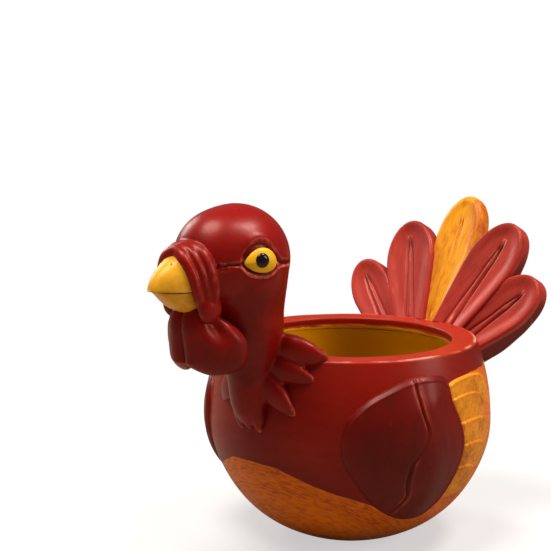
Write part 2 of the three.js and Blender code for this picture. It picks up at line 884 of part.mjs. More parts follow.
function feather(spec, clearance = 0) {
  const thickness = featherThickness + 2 * clearance;
  const outline = grown(featherOutline(spec), clearance);
  return inFan(plate(outline, thickness, featherBevel), spec, -featherThickness - clearance);
}

function covert(spec) {
  const lift = -featherThickness - covertThickness;
  const outline = featherOutline(spec, covertShare);
  return inFan(plate(outline, covertThickness, featherBevel), spec, lift);
}

// The two shallow troughs in a feather's face, on either side of the quill
function dishes(spec) {
  const inside = grown(featherOutline(spec), -featherLip - featherBevel);
  const edge = quillWidth / 2;
  return [1, -1].map((side) => {
    const half = inside
      .filter((p) => p.x * side > edge)
      .sort((p, q) => p.y - q.y)
      .map((p) => p.clone());
    const [low, high] = [half[0], half[half.length - 1]];
    const outline = [
      ...half,
      new THREE.Vector2(side * edge, high.y),
      new THREE.Vector2(side * edge, low.y),
    ];
    return inFan(plate(outline, dishDepth * 2), spec, -dishDepth);
  });
}

// The root behind the fan: a rounded mass on the pot's shoulder, and the short covert
// feathers that rise from it
function tailRoot() {
  const ball = new THREE.SphereGeometry(1, 18, 10);
  ball.scale(rootHalfWidth, rootHeight, rootDepth);
  ball.translate(0, -rootHeight / 2, -featherThickness - featherSetBack);
  ball.applyMatrix4(fanPlace);
  return join([toSolid(ball), ...featherShares.map(covert)]);
}

// Assembly: each piece is cut back to its clearance from the ones it meets

const potCutter = filledPot(glueGap);
const wholeShell = shell();
place('bowl_shell', wholeShell.intersect(redZone(0)), 'bodyRed');
place('belly_shell', cut(wholeShell, [redZone(glueGap)]), 'orange');
place('bowl_lining', lining(), 'ochre');

const headCutter = head(glueGap);
place('head_and_neck', cut(head(0), [potCutter]), 'headRed');

const beakCutter = beak(glueGap);
const beakSolid = cut(beak(0), [headCutter]);
place('upper_beak', beakSolid.intersect(aboveMouth(0)), 'beakYellow');
place('lower_beak', cut(beakSolid, [aboveMouth(glueGap)]), 'beakYellow');

const cowlCutter = cowl(glueGap);
place('beak_cowl', cut(cowl(0), [headCutter, beakCutter]), 'headRed');
const jowlCutter = jowl(glueGap);
placePair('jowl', cut(jowl(0), [rightHalf(), headCutter, cowlCutter, beakCutter]), 'headRed');
placePair(
  'wattle',
  cut(wattle(), [rightHalf(), headCutter, cowlCutter, jowlCutter, beakCutter]),
  'headRed',
);

const eyeCutter = eye(glueGap);
placePair('eye', cut(eye(0), [headCutter, cowlCutter]), 'eyeYellow');
placePair('pupil', cut(pupil(), [eyeCutter]), 'black');
const lidCutters = [headCutter, cowlCutter, eyeCutter];
placePair('brow', cut(lid(browDegrees, browRadius), lidCutters), 'headRed');
placePair('eyelid', cut(lid(lidDegrees, lidRadius), lidCutters), 'headRed');

const shoulder = wing(wingThickness).intersect(shoulderZone(0));
placePair('wing_shoulder', cut(shoulder, [potCutter]), 'bodyRed');
const rearPanel = cut(wing(wingThickness - creaseStep), [shoulderZone(glueGap), potCutter]);
placePair('wing_rear', rearPanel, 'bodyRed');

const wingCutter = wing(wingThickness, glueGap);
scaleEdgeDegrees.forEach((edges, i) => {
  const lower = i + 1 < scaleEdgeDegrees.length ? [scale(i + 1, glueGap)] : [];
  placePair(`scale_${i + 1}`, cut(scale(i), [potCutter, wingCutter, ...lower]), 'scaleYellow');
});

tuftShares.forEach((spec, i) => {
  const upper = i > 0 ? [tuft(tuftShares[i - 1], glueGap)] : [];
  const cutters = [rightHalf(), potCutter, headCutter, ...upper];
  placePair(`tuft_${i + 1}`, cut(tuft(spec), cutters), 'bodyRed');
});

const featherCutters = featherShares.map((spec) => feather(spec, glueGap));
const frontCutters = featherCutters.filter((cutter, i) => featherShares[i].back === 0);
featherShares.forEach((spec, i) => {
  const infront = spec.back === 0 ? [] : frontCutters;
  const solid = cut(feather(spec), [potCutter, ...dishes(spec), ...infront]);
  place(`tail_feather_${i + 1}`, solid, spec.paint);
});
place('tail_root', cut(tailRoot(), [potCutter, ...featherCutters]), 'bodyRed');

export default object;
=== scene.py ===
# %% [markdown]
# # A painted turkey bowl
# The object is a round resin bowl with a bird's head on a neck at the front, a wing and a
# row of scales on each side, and a fan of five feathers behind. The bird faces -Y and its
# left side is +X. The real piece is cast in one go and painted by hand, so the pieces here
# flow into each other and the paint has brush streaks, dark hollows and rubbed ridges.

import math

import bmesh
import bpy
import numpy as np
from mathutils import Matrix, Vector


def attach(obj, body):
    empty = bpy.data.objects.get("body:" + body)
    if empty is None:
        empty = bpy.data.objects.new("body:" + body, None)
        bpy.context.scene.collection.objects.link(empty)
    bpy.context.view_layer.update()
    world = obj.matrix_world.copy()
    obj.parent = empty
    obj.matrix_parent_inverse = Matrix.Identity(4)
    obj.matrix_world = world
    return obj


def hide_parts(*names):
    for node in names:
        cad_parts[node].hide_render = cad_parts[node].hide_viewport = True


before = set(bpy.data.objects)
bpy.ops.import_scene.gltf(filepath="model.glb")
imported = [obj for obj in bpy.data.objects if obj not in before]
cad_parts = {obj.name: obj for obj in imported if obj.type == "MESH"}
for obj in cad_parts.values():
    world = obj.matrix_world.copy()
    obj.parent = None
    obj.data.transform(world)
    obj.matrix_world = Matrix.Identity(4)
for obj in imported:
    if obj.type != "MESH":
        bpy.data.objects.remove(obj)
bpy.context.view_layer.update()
MM = 0.001
print(len(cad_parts), "nodes in the frame")

# %% [markdown]
# ## Camera and light
# The camera stands where the photograph was taken from: in front of the bird, on its left
# and a little above the rim, with a long lens. The highlights in the photograph tell where
# its lamps were: a large one stood overhead, a smaller one high and a little behind, and a
# weak one on each side. So the tops are bright and the folds dark below.

# %% Camera
camera_place = Vector((0.5521, -0.6132, 0.2662))
camera_yaw = math.radians(134.72)
camera_pitch = math.radians(-9.05)
sensor_width = 36
camera_lens = 105.07

look = Vector((
    math.cos(camera_yaw) * math.cos(camera_pitch),
    math.sin(camera_yaw) * math.cos(camera_pitch),
    math.sin(camera_pitch),
))
camera_data = bpy.data.cameras.new("camera")
camera_data.lens = camera_lens
camera_data.sensor_width = sensor_width
camera = bpy.data.objects.new("camera", camera_data)
camera.location = camera_place
camera.rotation_mode = "QUATERNION"
camera.rotation_quaternion = look.to_track_quat("-Z", "Y")
bpy.context.scene.collection.objects.link(camera)
bpy.context.scene.camera = camera
bpy.context.scene.view_settings.view_transform = "Standard"
print("camera at", [round(v, 3) for v in camera_place])

# %% Lamps
lamp_target = Vector((0, 0, 0.09))
lamp_color = (1, 0.95, 0.88)
# Name, place, size and power
lamps = [
    ("overhead_lamp", (-0.1, -0.4, 1.3), 0.7, 17),
    ("rear_lamp", (0.45, 0.36, 1.25), 0.35, 10),
    ("left_lamp", (-1.05, 0.0, 0.65), 0.5, 5),
    ("right_lamp", (1.0, 0.5, 0.55), 0.5, 4),
]
for name, place, size, power in lamps:
    lamp_data = bpy.data.lights.new(name, "AREA")
    lamp_data.shape = "DISK"
    lamp_data.size = size
    lamp_data.energy = power
    lamp_data.color = lamp_color
    lamp = bpy.data.objects.new(name, lamp_data)
    lamp.location = place
    lamp.rotation_mode = "QUATERNION"
    lamp.rotation_quaternion = (lamp_target - Vector(place)).to_track_quat("-Z", "Y")
    bpy.context.scene.collection.objects.link(lamp)
print("lamps:", [row[0] for row in lamps])

# %% [markdown]
# ## Short words for shader nodes
# The world, the floor and every paint are small networks of nodes. These functions make a
# node, link what is handed to it, and give back the output, so that a network reads like a
# sum.

# %% Node helpers
def set_input(tree, socket, value):
    """Links a socket to another one, or sets its value."""
    if isinstance(value, bpy.types.NodeSocket):
        tree.links.new(value, socket)
    else:
        socket.default_value = value


def node(tree, kind, inputs=None, **settings):
    """A node with its settings, its inputs linked to sockets or set to values."""
    made = tree.nodes.new(kind)
    for key, value in settings.items():
        setattr(made, key, value)
    for key, value in (inputs or {}).items():
        set_input(tree, made.inputs[key], value)
    return made


def blend(tree, factor, low, high):
    made = node(
        tree, "ShaderNodeMix", {0: factor, 6: low, 7: high}, data_type="RGBA", clamp_factor=True,
    )
    return made.outputs[2]


def blend_shaders(tree, factor, low, high):
    return node(tree, "ShaderNodeMixShader", {"Fac": factor, 1: low, 2: high}).outputs[0]


def maths(tree, operation, first, second=0.0, third=0.0):
    made = node(tree, "ShaderNodeMath", {0: first, 1: second, 2: third}, operation=operation)
    return made.outputs[0]


print("helpers:", node.__name__, blend.__name__, blend_shaders.__name__, maths.__name__)

# %% Helpers for values and materials
def ramp(tree, value, low, high, out_low=0.0, out_high=1.0):
    """A value between low and high turned into one between out_low and out_high, smoothly."""
    ends = {"From Min": low, "From Max": high, "To Min": out_low, "To Max": out_high}
    inputs = {"Value": value, **ends}
    made = node(tree, "ShaderNodeMapRange", inputs, interpolation_type="SMOOTHSTEP")
    return made.outputs[0]


def stored(tree, name, output="Fac"):
    return node(tree, "ShaderNodeAttribute", attribute_name=name).outputs[output]


def noise(tree, place, scale, detail=4.0, rough=0.55):
    return node(tree, "ShaderNodeTexNoise", {
        "Vector": place, "Scale": scale, "Detail": detail, "Roughness": rough,
    }).outputs[0]


def empty_material(name):
    material = bpy.data.materials.new(name)
    material.use_nodes = True
    material.node_tree.nodes.clear()
    return material


print("helpers:", ramp.__name__, stored.__name__, noise.__name__, empty_material.__name__)

# %% [markdown]
# ## World and floor
# The floor is pale and fades into a white world. The camera sees that white in full, and a
# reflection only a small share of it, as a dark studio would give, so the white adds no
# haze to the paint. Rays that carry light meet a dim warm world and a darker floor, because
# a white room would light the folds as much as the tops.

# %% What sees the white
mirror_share = 0.02


def ray_kind(tree, kind):
    return node(tree, "ShaderNodeLightPath").outputs[kind]


def white_share(tree):
    """1 for rays from the camera, a small share for reflections and 0 for rays that carry
    light."""
    glossy, clear = ray_kind(tree, "Is Glossy Ray"), ray_kind(tree, "Is Transmission Ray")
    mirrored = maths(tree, "MULTIPLY", maths(tree, "MAXIMUM", glossy, clear), mirror_share)
    return maths(tree, "MAXIMUM", ray_kind(tree, "Is Camera Ray"), mirrored)


print("a reflection sees", mirror_share, "of the white")

# %% World
ambient = 0.12
ambient_color = (1, 0.92, 0.84, 1)
pure_white = (1, 1, 1, 1)

world = bpy.data.worlds.new("studio")
bpy.context.scene.world = world
world.use_nodes = True
tree = world.node_tree
tree.nodes.clear()
soft = node(tree, "ShaderNodeBackground", {"Color": ambient_color, "Strength": ambient})
white = node(tree, "ShaderNodeBackground", {"Color": pure_white})
shown = blend_shaders(tree, white_share(tree), soft.outputs[0], white.outputs[0])
node(tree, "ShaderNodeOutputWorld", {"Surface": shown})
print("ambient light:", ambient)

# %% Floor
floor_radius = 1.2
floor_sides = 96
floor_clear = 0.14
floor_fade = 0.42
floor_color = (0.9, 0.9, 0.9, 1)
floor_evenness = 0.55
bounce_color = (0.34, 0.29, 0.23, 1)

bm = bmesh.new()
bmesh.ops.create_circle(bm, cap_ends=True, radius=floor_radius, segments=floor_sides)
floor_mesh = bpy.data.meshes.new("floor")
bm.to_mesh(floor_mesh)
bm.free()
floor = bpy.data.objects.new("floor", floor_mesh)
bpy.context.scene.collection.objects.link(floor)

floor_paint = empty_material("floor")
tree = floor_paint.node_tree
lit = node(tree, "ShaderNodeBsdfDiffuse", {"Color": floor_color})
even = node(tree, "ShaderNodeEmission", {"Color": pure_white})
pale = blend_shaders(tree, floor_evenness, lit.outputs[0], even.outputs[0])
place = node(tree, "ShaderNodeTexCoord").outputs["Object"]
distance = node(tree, "ShaderNodeVectorMath", {0: place}, operation="LENGTH").outputs["Value"]
clear = node(tree, "ShaderNodeBsdfTransparent")
far = ramp(tree, distance, floor_clear, floor_fade)
near = blend_shaders(tree, far, pale, clear.outputs[0])
dim = node(tree, "ShaderNodeBsdfDiffuse", {"Color": bounce_color})
shown = blend_shaders(tree, white_share(tree), dim.outputs[0], near)
node(tree, "ShaderNodeOutputMaterial", {"Surface": shown})
floor_mesh.materials.append(floor_paint)
print("the floor fades from", floor_clear, "to", floor_fade, "m")

# %% [markdown]
# ## Tools for smooth shapes
# Every form here is a soft, modelled one, so most pieces start from a ball of rings and
# have its points moved to where a short formula puts them. A curve through a few named
# places gives the formula its line, and the distance from a line gives every rolled edge,
# crease and groove. Lengths are millimetres until a mesh is finished.

# %% Curves through places
def curve_at(rows, share, closed=False):
    """Places on a smooth curve through rows, at shares of the way from 0 to 1."""
    rows = np.asarray(rows, float)
    if rows.ndim == 1:
        rows = rows[:, None]
    count = len(rows)
    last = count if closed else count - 1
    spot = np.clip(np.atleast_1d(share), 0, 1) * last
    first = np.clip(np.floor(spot).astype(int), 0, last - 1)
    part = (spot - first)[:, None]
    picks = []
    for step in (-1, 0, 1, 2):
        index = first + step
        index = index % count if closed else np.clip(index, 0, count - 1)
        picks.append(rows[index])
    before, start, end, after = picks
    return 0.5 * (
        2 * start
        + (end - before) * part
        + (2 * before - 5 * start + 4 * end - after) * part ** 2
        + (3 * start - before - 3 * end + after) * part ** 3
    )


def smooth_line(rows, count, closed=False):
    """Evenly counted places along the curve through rows."""
    return curve_at(rows, np.linspace(0, 1, count, endpoint=not closed), closed)


def even_line(rows, count, closed=False):
    """Places along the curve through rows, the same length apart."""
    fine = smooth_line(rows, 40 * len(rows), closed)
    if closed:
        fine = np.vstack([fine, fine[:1]])
    reach = np.linalg.norm(np.diff(fine, axis=0), axis=1)
    reach = np.concatenate([[0], np.cumsum(reach)])
    wanted = np.linspace(0, reach[-1], count, endpoint=not closed)
    return np.stack([np.interp(wanted, reach, column) for column in fine.T], axis=1)


print("a curve's middle:", curve_at([[0, 0], [1, 2], [2, 0]], 0.5).round(2).tolist())

# %% Distance from a line
batch_size = 8192


def line_distance(points, line, closed=False):
    """Distance of each point from a line of places, and the share along it at the nearest.
    Only the two stretches that meet at the nearest place are measured."""
    count = len(line)
    last = count if closed else count - 1
    nearest = np.empty(len(points), dtype=int)
    square = (line ** 2).sum(axis=1)
    for start in range(0, len(points), batch_size):
        batch = slice(start, start + batch_size)
        nearest[batch] = (square - 2 * points[batch] @ line.T).argmin(axis=1)
    best = np.full(len(points), np.inf)
    share = np.zeros(len(points))
    for step in (-1, 0):
        first = (nearest + step) % count if closed else np.clip(nearest + step, 0, last - 1)
        start = line[first]
        way = line[(first + 1) % count] - start
        reach = np.maximum((way ** 2).sum(axis=1), 1e-9)
        part = np.clip(((points - start) * way).sum(axis=1) / reach, 0, 1)
        gap = np.linalg.norm(points - start - part[:, None] * way, axis=1)
        nearer = gap < best
        best[nearer] = gap[nearer]
        share[nearer] = ((first + part) / last)[nearer]
    return best, share


def smooth_step(value, low, high):
    """0 below low, 1 above high, and a smooth climb between them."""
    part = np.clip((value - low) / (high - low), 0, 1)
    return part * part * (3 - 2 * part)


print("halfway up a smooth step:", float(smooth_step(0.5, 0, 1)))

# %% Meshes from balls of rings
def read_points(mesh):
    points = np.empty(len(mesh.vertices) * 3)
    mesh.vertices.foreach_get("co", points)
    return points.reshape(-1, 3)


def write_points(mesh, points):
    mesh.vertices.foreach_set("co", points.astype(np.float32).ravel())
    mesh.update()


weld = 1e-7


def change_mesh(mesh, *changes):
    """Runs bmesh operators, each given with its options, on a mesh."""
    bm = bmesh.new()
    bm.from_mesh(mesh)
    for change, part, options in changes:
        change(bm, **{part: getattr(bm, part)[:]}, **options)
    bm.to_mesh(mesh)
    bm.free()


def shaped_ball(name, around, along, place):
    """A ball of rings, each point of which goes where place(turn, share) says. The turn is
    the angle round the ball and the share runs from 0 at one pole to 1 at the other. It
    starts as a flat grid, whose two sides meet and whose ends close when it is welded."""
    bm = bmesh.new()
    bmesh.ops.create_grid(bm, x_segments=around, y_segments=along, size=1)
    mesh = bpy.data.meshes.new(name)
    bm.to_mesh(mesh)
    bm.free()
    spots = read_points(mesh)
    step = np.round((spots[:, 0] + 1) / 2 * around) % around
    share = np.round((spots[:, 1] + 1) / 2 * along) / along
    write_points(mesh, place(step * 2 * math.pi / around, share))
    join = (bmesh.ops.remove_doubles, "verts", {"dist": weld})
    turn_out = (bmesh.ops.recalc_face_normals, "faces", {})
    change_mesh(mesh, join, turn_out)
    return mesh


def mirrored_mesh(mesh, name):
    """The same form on the bird's right side."""
    twin = mesh.copy()
    twin.name = name
    twin.transform(Matrix.Scale(-1, 4, (1, 0, 0)))
    twin.flip_normals()
    return twin


print("points closer than", weld, "m are welded")

# %% Smoothing
def edge_pairs(mesh):
    pairs = np.empty(len(mesh.edges) * 2, dtype=int)
    mesh.edges.foreach_get("vertices", pairs)
    return pairs.reshape(-1, 2)


def neighbour_mean(points, pairs):
    """For each point, the mean of the points that an edge joins it to."""
    here = pairs.ravel()
    there = pairs[:, ::-1].ravel()
    count = np.bincount(here, minlength=len(points))
    totals = [np.bincount(here, points[there, axis], len(points)) for axis in range(3)]
    return np.stack(totals, axis=1) / np.maximum(count, 1)[:, None]


step_in = 0.5
step_back = -0.53


def relaxed(points, pairs, rounds, keep_size=True):
    """Smoother points. A step back after each step forward keeps the form its size."""
    steps = (step_in, step_back) if keep_size else (step_in,)
    for _ in range(rounds):
        for step in steps:
            points = points + step * (neighbour_mean(points, pairs) - points)
    return points


print("one round of smoothing steps by", step_in, "and", step_back)

# %% [markdown]
# ## What the paint reads
# On the real object the wash has run into the hollows and the brush has caught the ridges,
# and the paint here also puts painted shade in the hollows and painted highlights on the ridges.
# The material needs to know where those are. So each point stores how far it stands out
# from its smoothed surroundings, and where the brush strokes lie. That is cheaper than a
# painted picture, and it fits any change of the form.

# %% Relief
def point_normals(mesh):
    normals = np.empty(len(mesh.vertices) * 3)
    mesh.vertex_normals.foreach_get("vector", normals)
    return normals.reshape(-1, 3)


def give_attribute(mesh, name, values):
    """Stores a number or a vector for each point, for the material to read."""
    kind, field = ("FLOAT_VECTOR", "vector") if values.ndim > 1 else ("FLOAT", "value")
    layer = mesh.attributes.new(name, kind, "POINT")
    layer.data.foreach_set(field, values.astype(np.float32).ravel())


relief_rounds = 5
pole_edges = 12
pole_rings = 4


def give_relief(mesh):
    """How far each point stands out from its smoothed surroundings, in millimetres: above
    zero on a ridge, where the paint puts a lighter colour that stands for dry-brushed paint
    and a painted highlight, and below it in hollows, where it puts a darker colour that
    stands for pooled paint and painted shade. It is left at zero near a ball's poles, where
    the thin faces would read as ridges."""
    points = read_points(mesh)
    pairs = edge_pairs(mesh)
    flat = relaxed(points, pairs, relief_rounds, keep_size=False)
    stand = ((points - flat) * point_normals(mesh)).sum(axis=1) / MM
    near_pole = np.bincount(pairs.ravel(), minlength=len(points)) > pole_edges
    for _ in range(pole_rings):
        near_pole[pairs[near_pole[pairs].any(axis=1)]] = True
    stand[near_pole] = 0
    give_attribute(mesh, "relief", stand)


def change_relief(mesh, change):
    """Puts the stored relief through a function, where the paint isn't what the form says."""
    layer = mesh.attributes["relief"]
    values = np.empty(len(mesh.vertices))
    layer.data.foreach_get("value", values)
    layer.data.foreach_set("value", change(values).astype(np.float32))


print("relief is measured over", relief_rounds, "rounds of smoothing")

# %% Finish a piece
def add_piece(name, mesh, nodes, grain=None):
    """Finishes a mesh in metres as a piece that stands for CAD nodes. The grain is the
    place that the paint's brush strokes are laid out on."""
    give_relief(mesh)
    give_attribute(mesh, "grain", read_points(mesh) if grain is None else grain)
    mesh.shade_smooth()
    piece = bpy.data.objects.new(name, mesh)
    bpy.context.scene.collection.objects.link(piece)
    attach(piece, "root")
    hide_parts(*nodes)
    print(f"{name}: {sum(len(p.vertices) - 2 for p in mesh.polygons)} triangles")


def add_pair(part, mesh, nodes, stretch=(1, 1, 1)):
    """Adds a piece on the bird's left and its mirror image on the right. The part and the
    nodes are named without their side, and stretch is how the strokes' places are scaled."""
    twin = mirrored_mesh(mesh, f"right_{part}")
    for side, form in zip(sides, (mesh, twin)):
        names = [f"{side}_{node}" for node in nodes]
        add_piece(f"{side}_{part}", form, names, read_points(form) * stretch)


sides = ("left", "right")
print("pairs are made for the", sides)

# %% [markdown]
# ## The pot
# The real pot is a thick-walled round bowl with a flat rim, slightly uneven because it
# was cast from a hand-modelled form. A half outline is spun all the way round, and the
# rings are then pushed in and out by a fraction of a millimetre. Red paint covers its
# chest and collar and orange its belly and back, so each point also stores how far it is
# above or below the line between them, and the material draws the line from that.

# %% Pot sizes
pot_radius = 73.5
pot_height = 103
belly_height = 58.7
belly_depth = 62.3
shoulder_reach = 96
rim_width = 12
rim_edge = 0.8
lip_depth = 6
wall = 8
lining_wall = 2.5
floor_wall = 8
glue_gap = 0.3
belly_slim = 1.3
slim_height = 64
hidden_wall = 3


def pot_outer(z):
    reach = np.where(z < belly_height, belly_depth, shoulder_reach)
    plain = pot_radius * np.sqrt(np.maximum(0, 1 - ((z - belly_height) / reach) ** 2))
    return plain - belly_slim * np.sin(math.pi * np.clip(z / slim_height, 0, 1)) ** 2


rim_radius = float(pot_outer(np.array(pot_height - rim_edge))) - rim_edge
mouth_radius = rim_radius - rim_width
lip_foot = pot_height - lip_depth
cavity_radius = pot_radius - wall


def pot_inner(z, offset):
    widest = cavity_radius + offset
    above = (lip_foot - belly_height) / math.sqrt(1 - ((mouth_radius + offset) / widest) ** 2)
    reach = np.where(z < belly_height, belly_depth - wall + offset, above)
    return widest * np.sqrt(np.maximum(0, 1 - ((z - belly_height) / reach) ** 2))


print("rim and mouth radius:", round(rim_radius, 2), round(mouth_radius, 2))

# %% Places on the pot
def on_pot(degrees, z, lift):
    """Places on the pot at angles from its front towards the bird's left, at heights, and
    lifted along the surface's normal."""
    reach = np.where(z < belly_height, belly_depth, shoulder_reach)
    radius = pot_outer(z)
    slope = pot_radius ** 2 * (z - belly_height) / (reach ** 2 * radius)
    size = np.hypot(1, slope)
    out = radius + lift / size
    turn = np.radians(degrees)
    return np.stack([out * np.sin(turn), -out * np.cos(turn), z + lift * slope / size], axis=1)


def keep_in_wall(points):
    """Moves what a form has under the pot's skin out into the wall, so that nothing of it
    shows in the cavity."""
    radius = np.hypot(points[:, 0], points[:, 1])
    inside = pot_outer(np.minimum(points[:, 2], pot_height - rim_edge)) - hidden_wall
    sunk = (points[:, 2] < pot_height - 0.5) & (radius < inside)
    points[sunk, :2] *= (inside[sunk] / radius[sunk])[:, None]


print("the pot's front at its widest:", on_pot([0], np.array([belly_height]), 0).tolist())

# %% Pot outline tools
pot_sides = 320


def level_heights(low, high, count):
    """Heights whose spacing follows the pot's curve."""
    start = math.asin((low - belly_height) / belly_depth)
    end = math.asin((high - belly_height) / shoulder_reach)
    turn = np.linspace(start, end, count)
    return belly_height + np.where(turn < 0, belly_depth, shoulder_reach) * np.sin(turn)


def quarter(centre_r, centre_z, radius, start, end, count):
    """Points on a rounded edge, at angles in degrees from the outward level direction."""
    turn = np.radians(np.linspace(start, end, count))
    return [(centre_r + radius * math.cos(a), centre_z + radius * math.sin(a)) for a in turn]


def spun(name, profile):
    """A closed solid from a half outline of (radius, height) that starts and ends on the
    axis."""
    rows = np.array(profile)

    def place(turn, share):
        radius, z = rows[np.round(share * (len(rows) - 1)).astype(int)].T
        return np.stack([radius * np.sin(turn), -radius * np.cos(turn), z], axis=1) * MM

    return shaped_ball(name, pot_sides, len(rows) - 1, place)


def outline_rows(heights, radius_at):
    return [(float(radius_at(z)), float(z)) for z in heights]


print("a pot has", pot_sides, "sides")

# %% Pot body
outer_steps = 84
inner_steps = 40
foot_edge = 1.5
floor_edge = 0.4
foot_rings = (9, 18)
floor_ring = 6
rim_round = 1.2
rim_inset = 0.3
lip_round = 1
corner_steps = 7
rim_steps = np.linspace(1, rim_width - lip_round - rim_round, 9)
lip_steps = (2, 3.2, 4.4, lip_depth)
below_lip = 0.6

offset = lining_wall + glue_gap
cavity_floor = floor_wall - offset
rim_start = rim_radius - rim_inset
outer_heights = level_heights(foot_edge / 2, pot_height - 2 * rim_edge, outer_steps)
inner_heights = level_heights(cavity_floor + floor_edge, lip_foot - below_lip, inner_steps)[::-1]
pot_profile = [(0, 0)]
pot_profile += [(radius, 0) for radius in foot_rings]
pot_profile += [(float(pot_outer(np.array(0.0))) - foot_edge, 0)]
pot_profile += outline_rows(outer_heights, pot_outer)
pot_profile += quarter(rim_start, pot_height - rim_round, rim_round, 10, 90, corner_steps)
pot_profile += [(rim_start - step, pot_height) for step in rim_steps]
pot_profile += quarter(
    mouth_radius + lip_round, pot_height - lip_round, lip_round, 90, 180, corner_steps,
)
pot_profile += [(mouth_radius, pot_height - step) for step in lip_steps]
pot_profile += outline_rows(inner_heights, lambda z: pot_inner(z, offset))
pot_profile += [(radius, cavity_floor) for radius in (floor_ring, 0)]
pot_mesh = spun("pot_body", pot_profile)
print("pot outline:", len(pot_profile), "points")

# %% The line between red and orange
collar_foot = pot_height - 11.5
# Side view of the line: shares of the pot's radius and height, from the chest backwards
paint_line_shares = [
    (-1.3, 0.5), (-1, 0.487), (-0.93, 0.455), (-0.848, 0.405), (-0.751, 0.366),
    (-0.624, 0.326), (-0.513, 0.288), (-0.4, 0.254), (-0.315, 0.225), (-0.12, 0.24),
    (0.02, 0.32),
]


def above_paint_line(points):
    """Height above the line between the two colours in millimetres. Below zero is orange."""
    line = smooth_line(paint_line_shares, 60) * (pot_radius, pot_height)
    front = points[:, 2] - np.interp(points[:, 1], line[:, 0], line[:, 1])
    collar = points[:, 2] - collar_foot
    behind = points[:, 1] > line[-1, 0]
    return np.where(behind, collar, front)


print("the collar's foot is at", collar_foot, "mm")

# %% Handmade pot
wobble = 0.22
wobble_size = 11
wobble_foot = 4
wave_finer, wave_turn = 0.37, 1.7
skin_depth = 6
waves = [(1, 0.7, -0.4), (-0.6, 1, 0.5), (0.3, -0.8, 1), (0.9, 0.5, 0.9)]


def uneven(points):
    """A smooth handmade unevenness, as a distance for each point."""
    total = np.zeros(len(points))
    for i, wave in enumerate(waves):
        along = points @ np.array(wave) / wobble_size
        total += np.sin(along * (1 + wave_finer * i) + wave_turn * i)
    return wobble * total / len(waves)


points = read_points(pot_mesh) / MM
out = points / np.maximum(np.linalg.norm(points, axis=1), 1)[:, None]
within = pot_inner(np.minimum(points[:, 2], lip_foot), skin_depth)
outside = np.hypot(points[:, 0], points[:, 1]) > within
above_foot = points[:, 2] > wobble_foot
points += out * (uneven(points) * outside * above_foot)[:, None]
write_points(pot_mesh, points * MM)
print("pushed in and out by at most", wobble, "mm")

# %% What the pot's paint reads
lining_edge = pot_height - 4.6
flat_low, flat_high = 1.4, 0.5
corner_reach = 0.65
mouth_slack = 0.5
within = np.hypot(points[:, 0], points[:, 1]) < mouth_radius + mouth_slack
within &= points[:, 2] > pot_height - 2 * lip_depth
give_attribute(pot_mesh, "above_line", above_paint_line(points))
give_attribute(pot_mesh, "above_lining", np.where(within, points[:, 2] - lining_edge, rim_width))
on_rim = smooth_step(points[:, 2], pot_height - flat_low, pot_height - flat_high)
give_attribute(pot_mesh, "on_rim", on_rim)
corner = np.hypot(np.hypot(points[:, 0], points[:, 1]) - rim_radius, points[:, 2] - pot_height)
give_attribute(pot_mesh, "rim_corner", np.exp(-(corner / corner_reach) ** 2))
print("the lining's paint starts at", lining_edge, "mm")

# %% Brush strokes of the pot
stroke_tilt = math.radians(-27.5)
stroke_stretch = 0.14


def pot_grain(mesh):
    """Brush strokes that follow the line between the colours, so they run long in it."""
    points = read_points(mesh)
    along = points[:, 1] * math.cos(stroke_tilt) + points[:, 2] * math.sin(stroke_tilt)
    across = points[:, 2] * math.cos(stroke_tilt) - points[:, 1] * math.sin(stroke_tilt)
    return np.stack([points[:, 0] * stroke_stretch, along * stroke_stretch, across], axis=1)


pot_nodes = ["bowl_shell", "belly_shell"]
add_piece("pot_body", pot_mesh, pot_nodes, pot_grain(pot_mesh))

# %% Pot lining
face_steps = 48
back_steps_out = (0.6, 0.1)
top = lip_foot - glue_gap
foot = floor_wall - lining_wall
back_heights = level_heights(foot + floor_edge, top, inner_steps)
face_heights = level_heights(floor_wall + floor_edge, top - floor_edge, face_steps)[::-1]
lining_profile = [(0, foot), (floor_ring, foot)]
lining_profile += outline_rows(back_heights, lambda z: pot_inner(z, lining_wall))
lining_profile += [(mouth_radius + step, top) for step in back_steps_out]
lining_profile += outline_rows(face_heights, lambda z: pot_inner(z, 0))
lining_profile += [(floor_ring, floor_wall), (0, floor_wall)]
lining_mesh = spun("pot_lining", lining_profile)
points = read_points(lining_mesh) / MM
give_attribute(lining_mesh, "above_line", above_paint_line(points))
give_attribute(lining_mesh, "above_lining", points[:, 2] - lining_edge)
for name in ("on_rim", "rim_corner"):
    give_attribute(lining_mesh, name, np.zeros(len(points)))
add_piece("pot_lining", lining_mesh, ["bowl_lining"], pot_grain(lining_mesh))

# %% [markdown]
# ## The head, the neck and the bib
# Head, neck, the folds over the beak, the cheek lobes, the lids and the tufts of the bib
# are one casting on the real object. Each is made as a rounded form of its own, the forms
# are joined by a voxel remesh, and smoothing rounds the seams between them, as a thumb
# does in clay. The fine lines, such as the fold along the cheek and the eye's socket, are
# then carved along curves.

# %% Head sizes
head_radius = 26.4
head_out = 18.2
head_rise = 49.9
bib_drop = 37
head_centre = np.array([0, -rim_radius - head_out, pot_height + head_rise])


def on_head(degrees, rise, lift=0):
    """Places on the head's ball, at angles round from its front and up from its middle."""
    turn, tilt = np.radians(degrees), np.radians(rise)
    way = np.stack([
        np.sin(turn) * np.cos(tilt), -np.cos(turn) * np.cos(tilt), np.sin(tilt) + 0 * turn,
    ], axis=-1)
    return head_centre + way * (head_radius + np.asarray(lift)[..., None])


print("head centre:", head_centre.round(1).tolist())

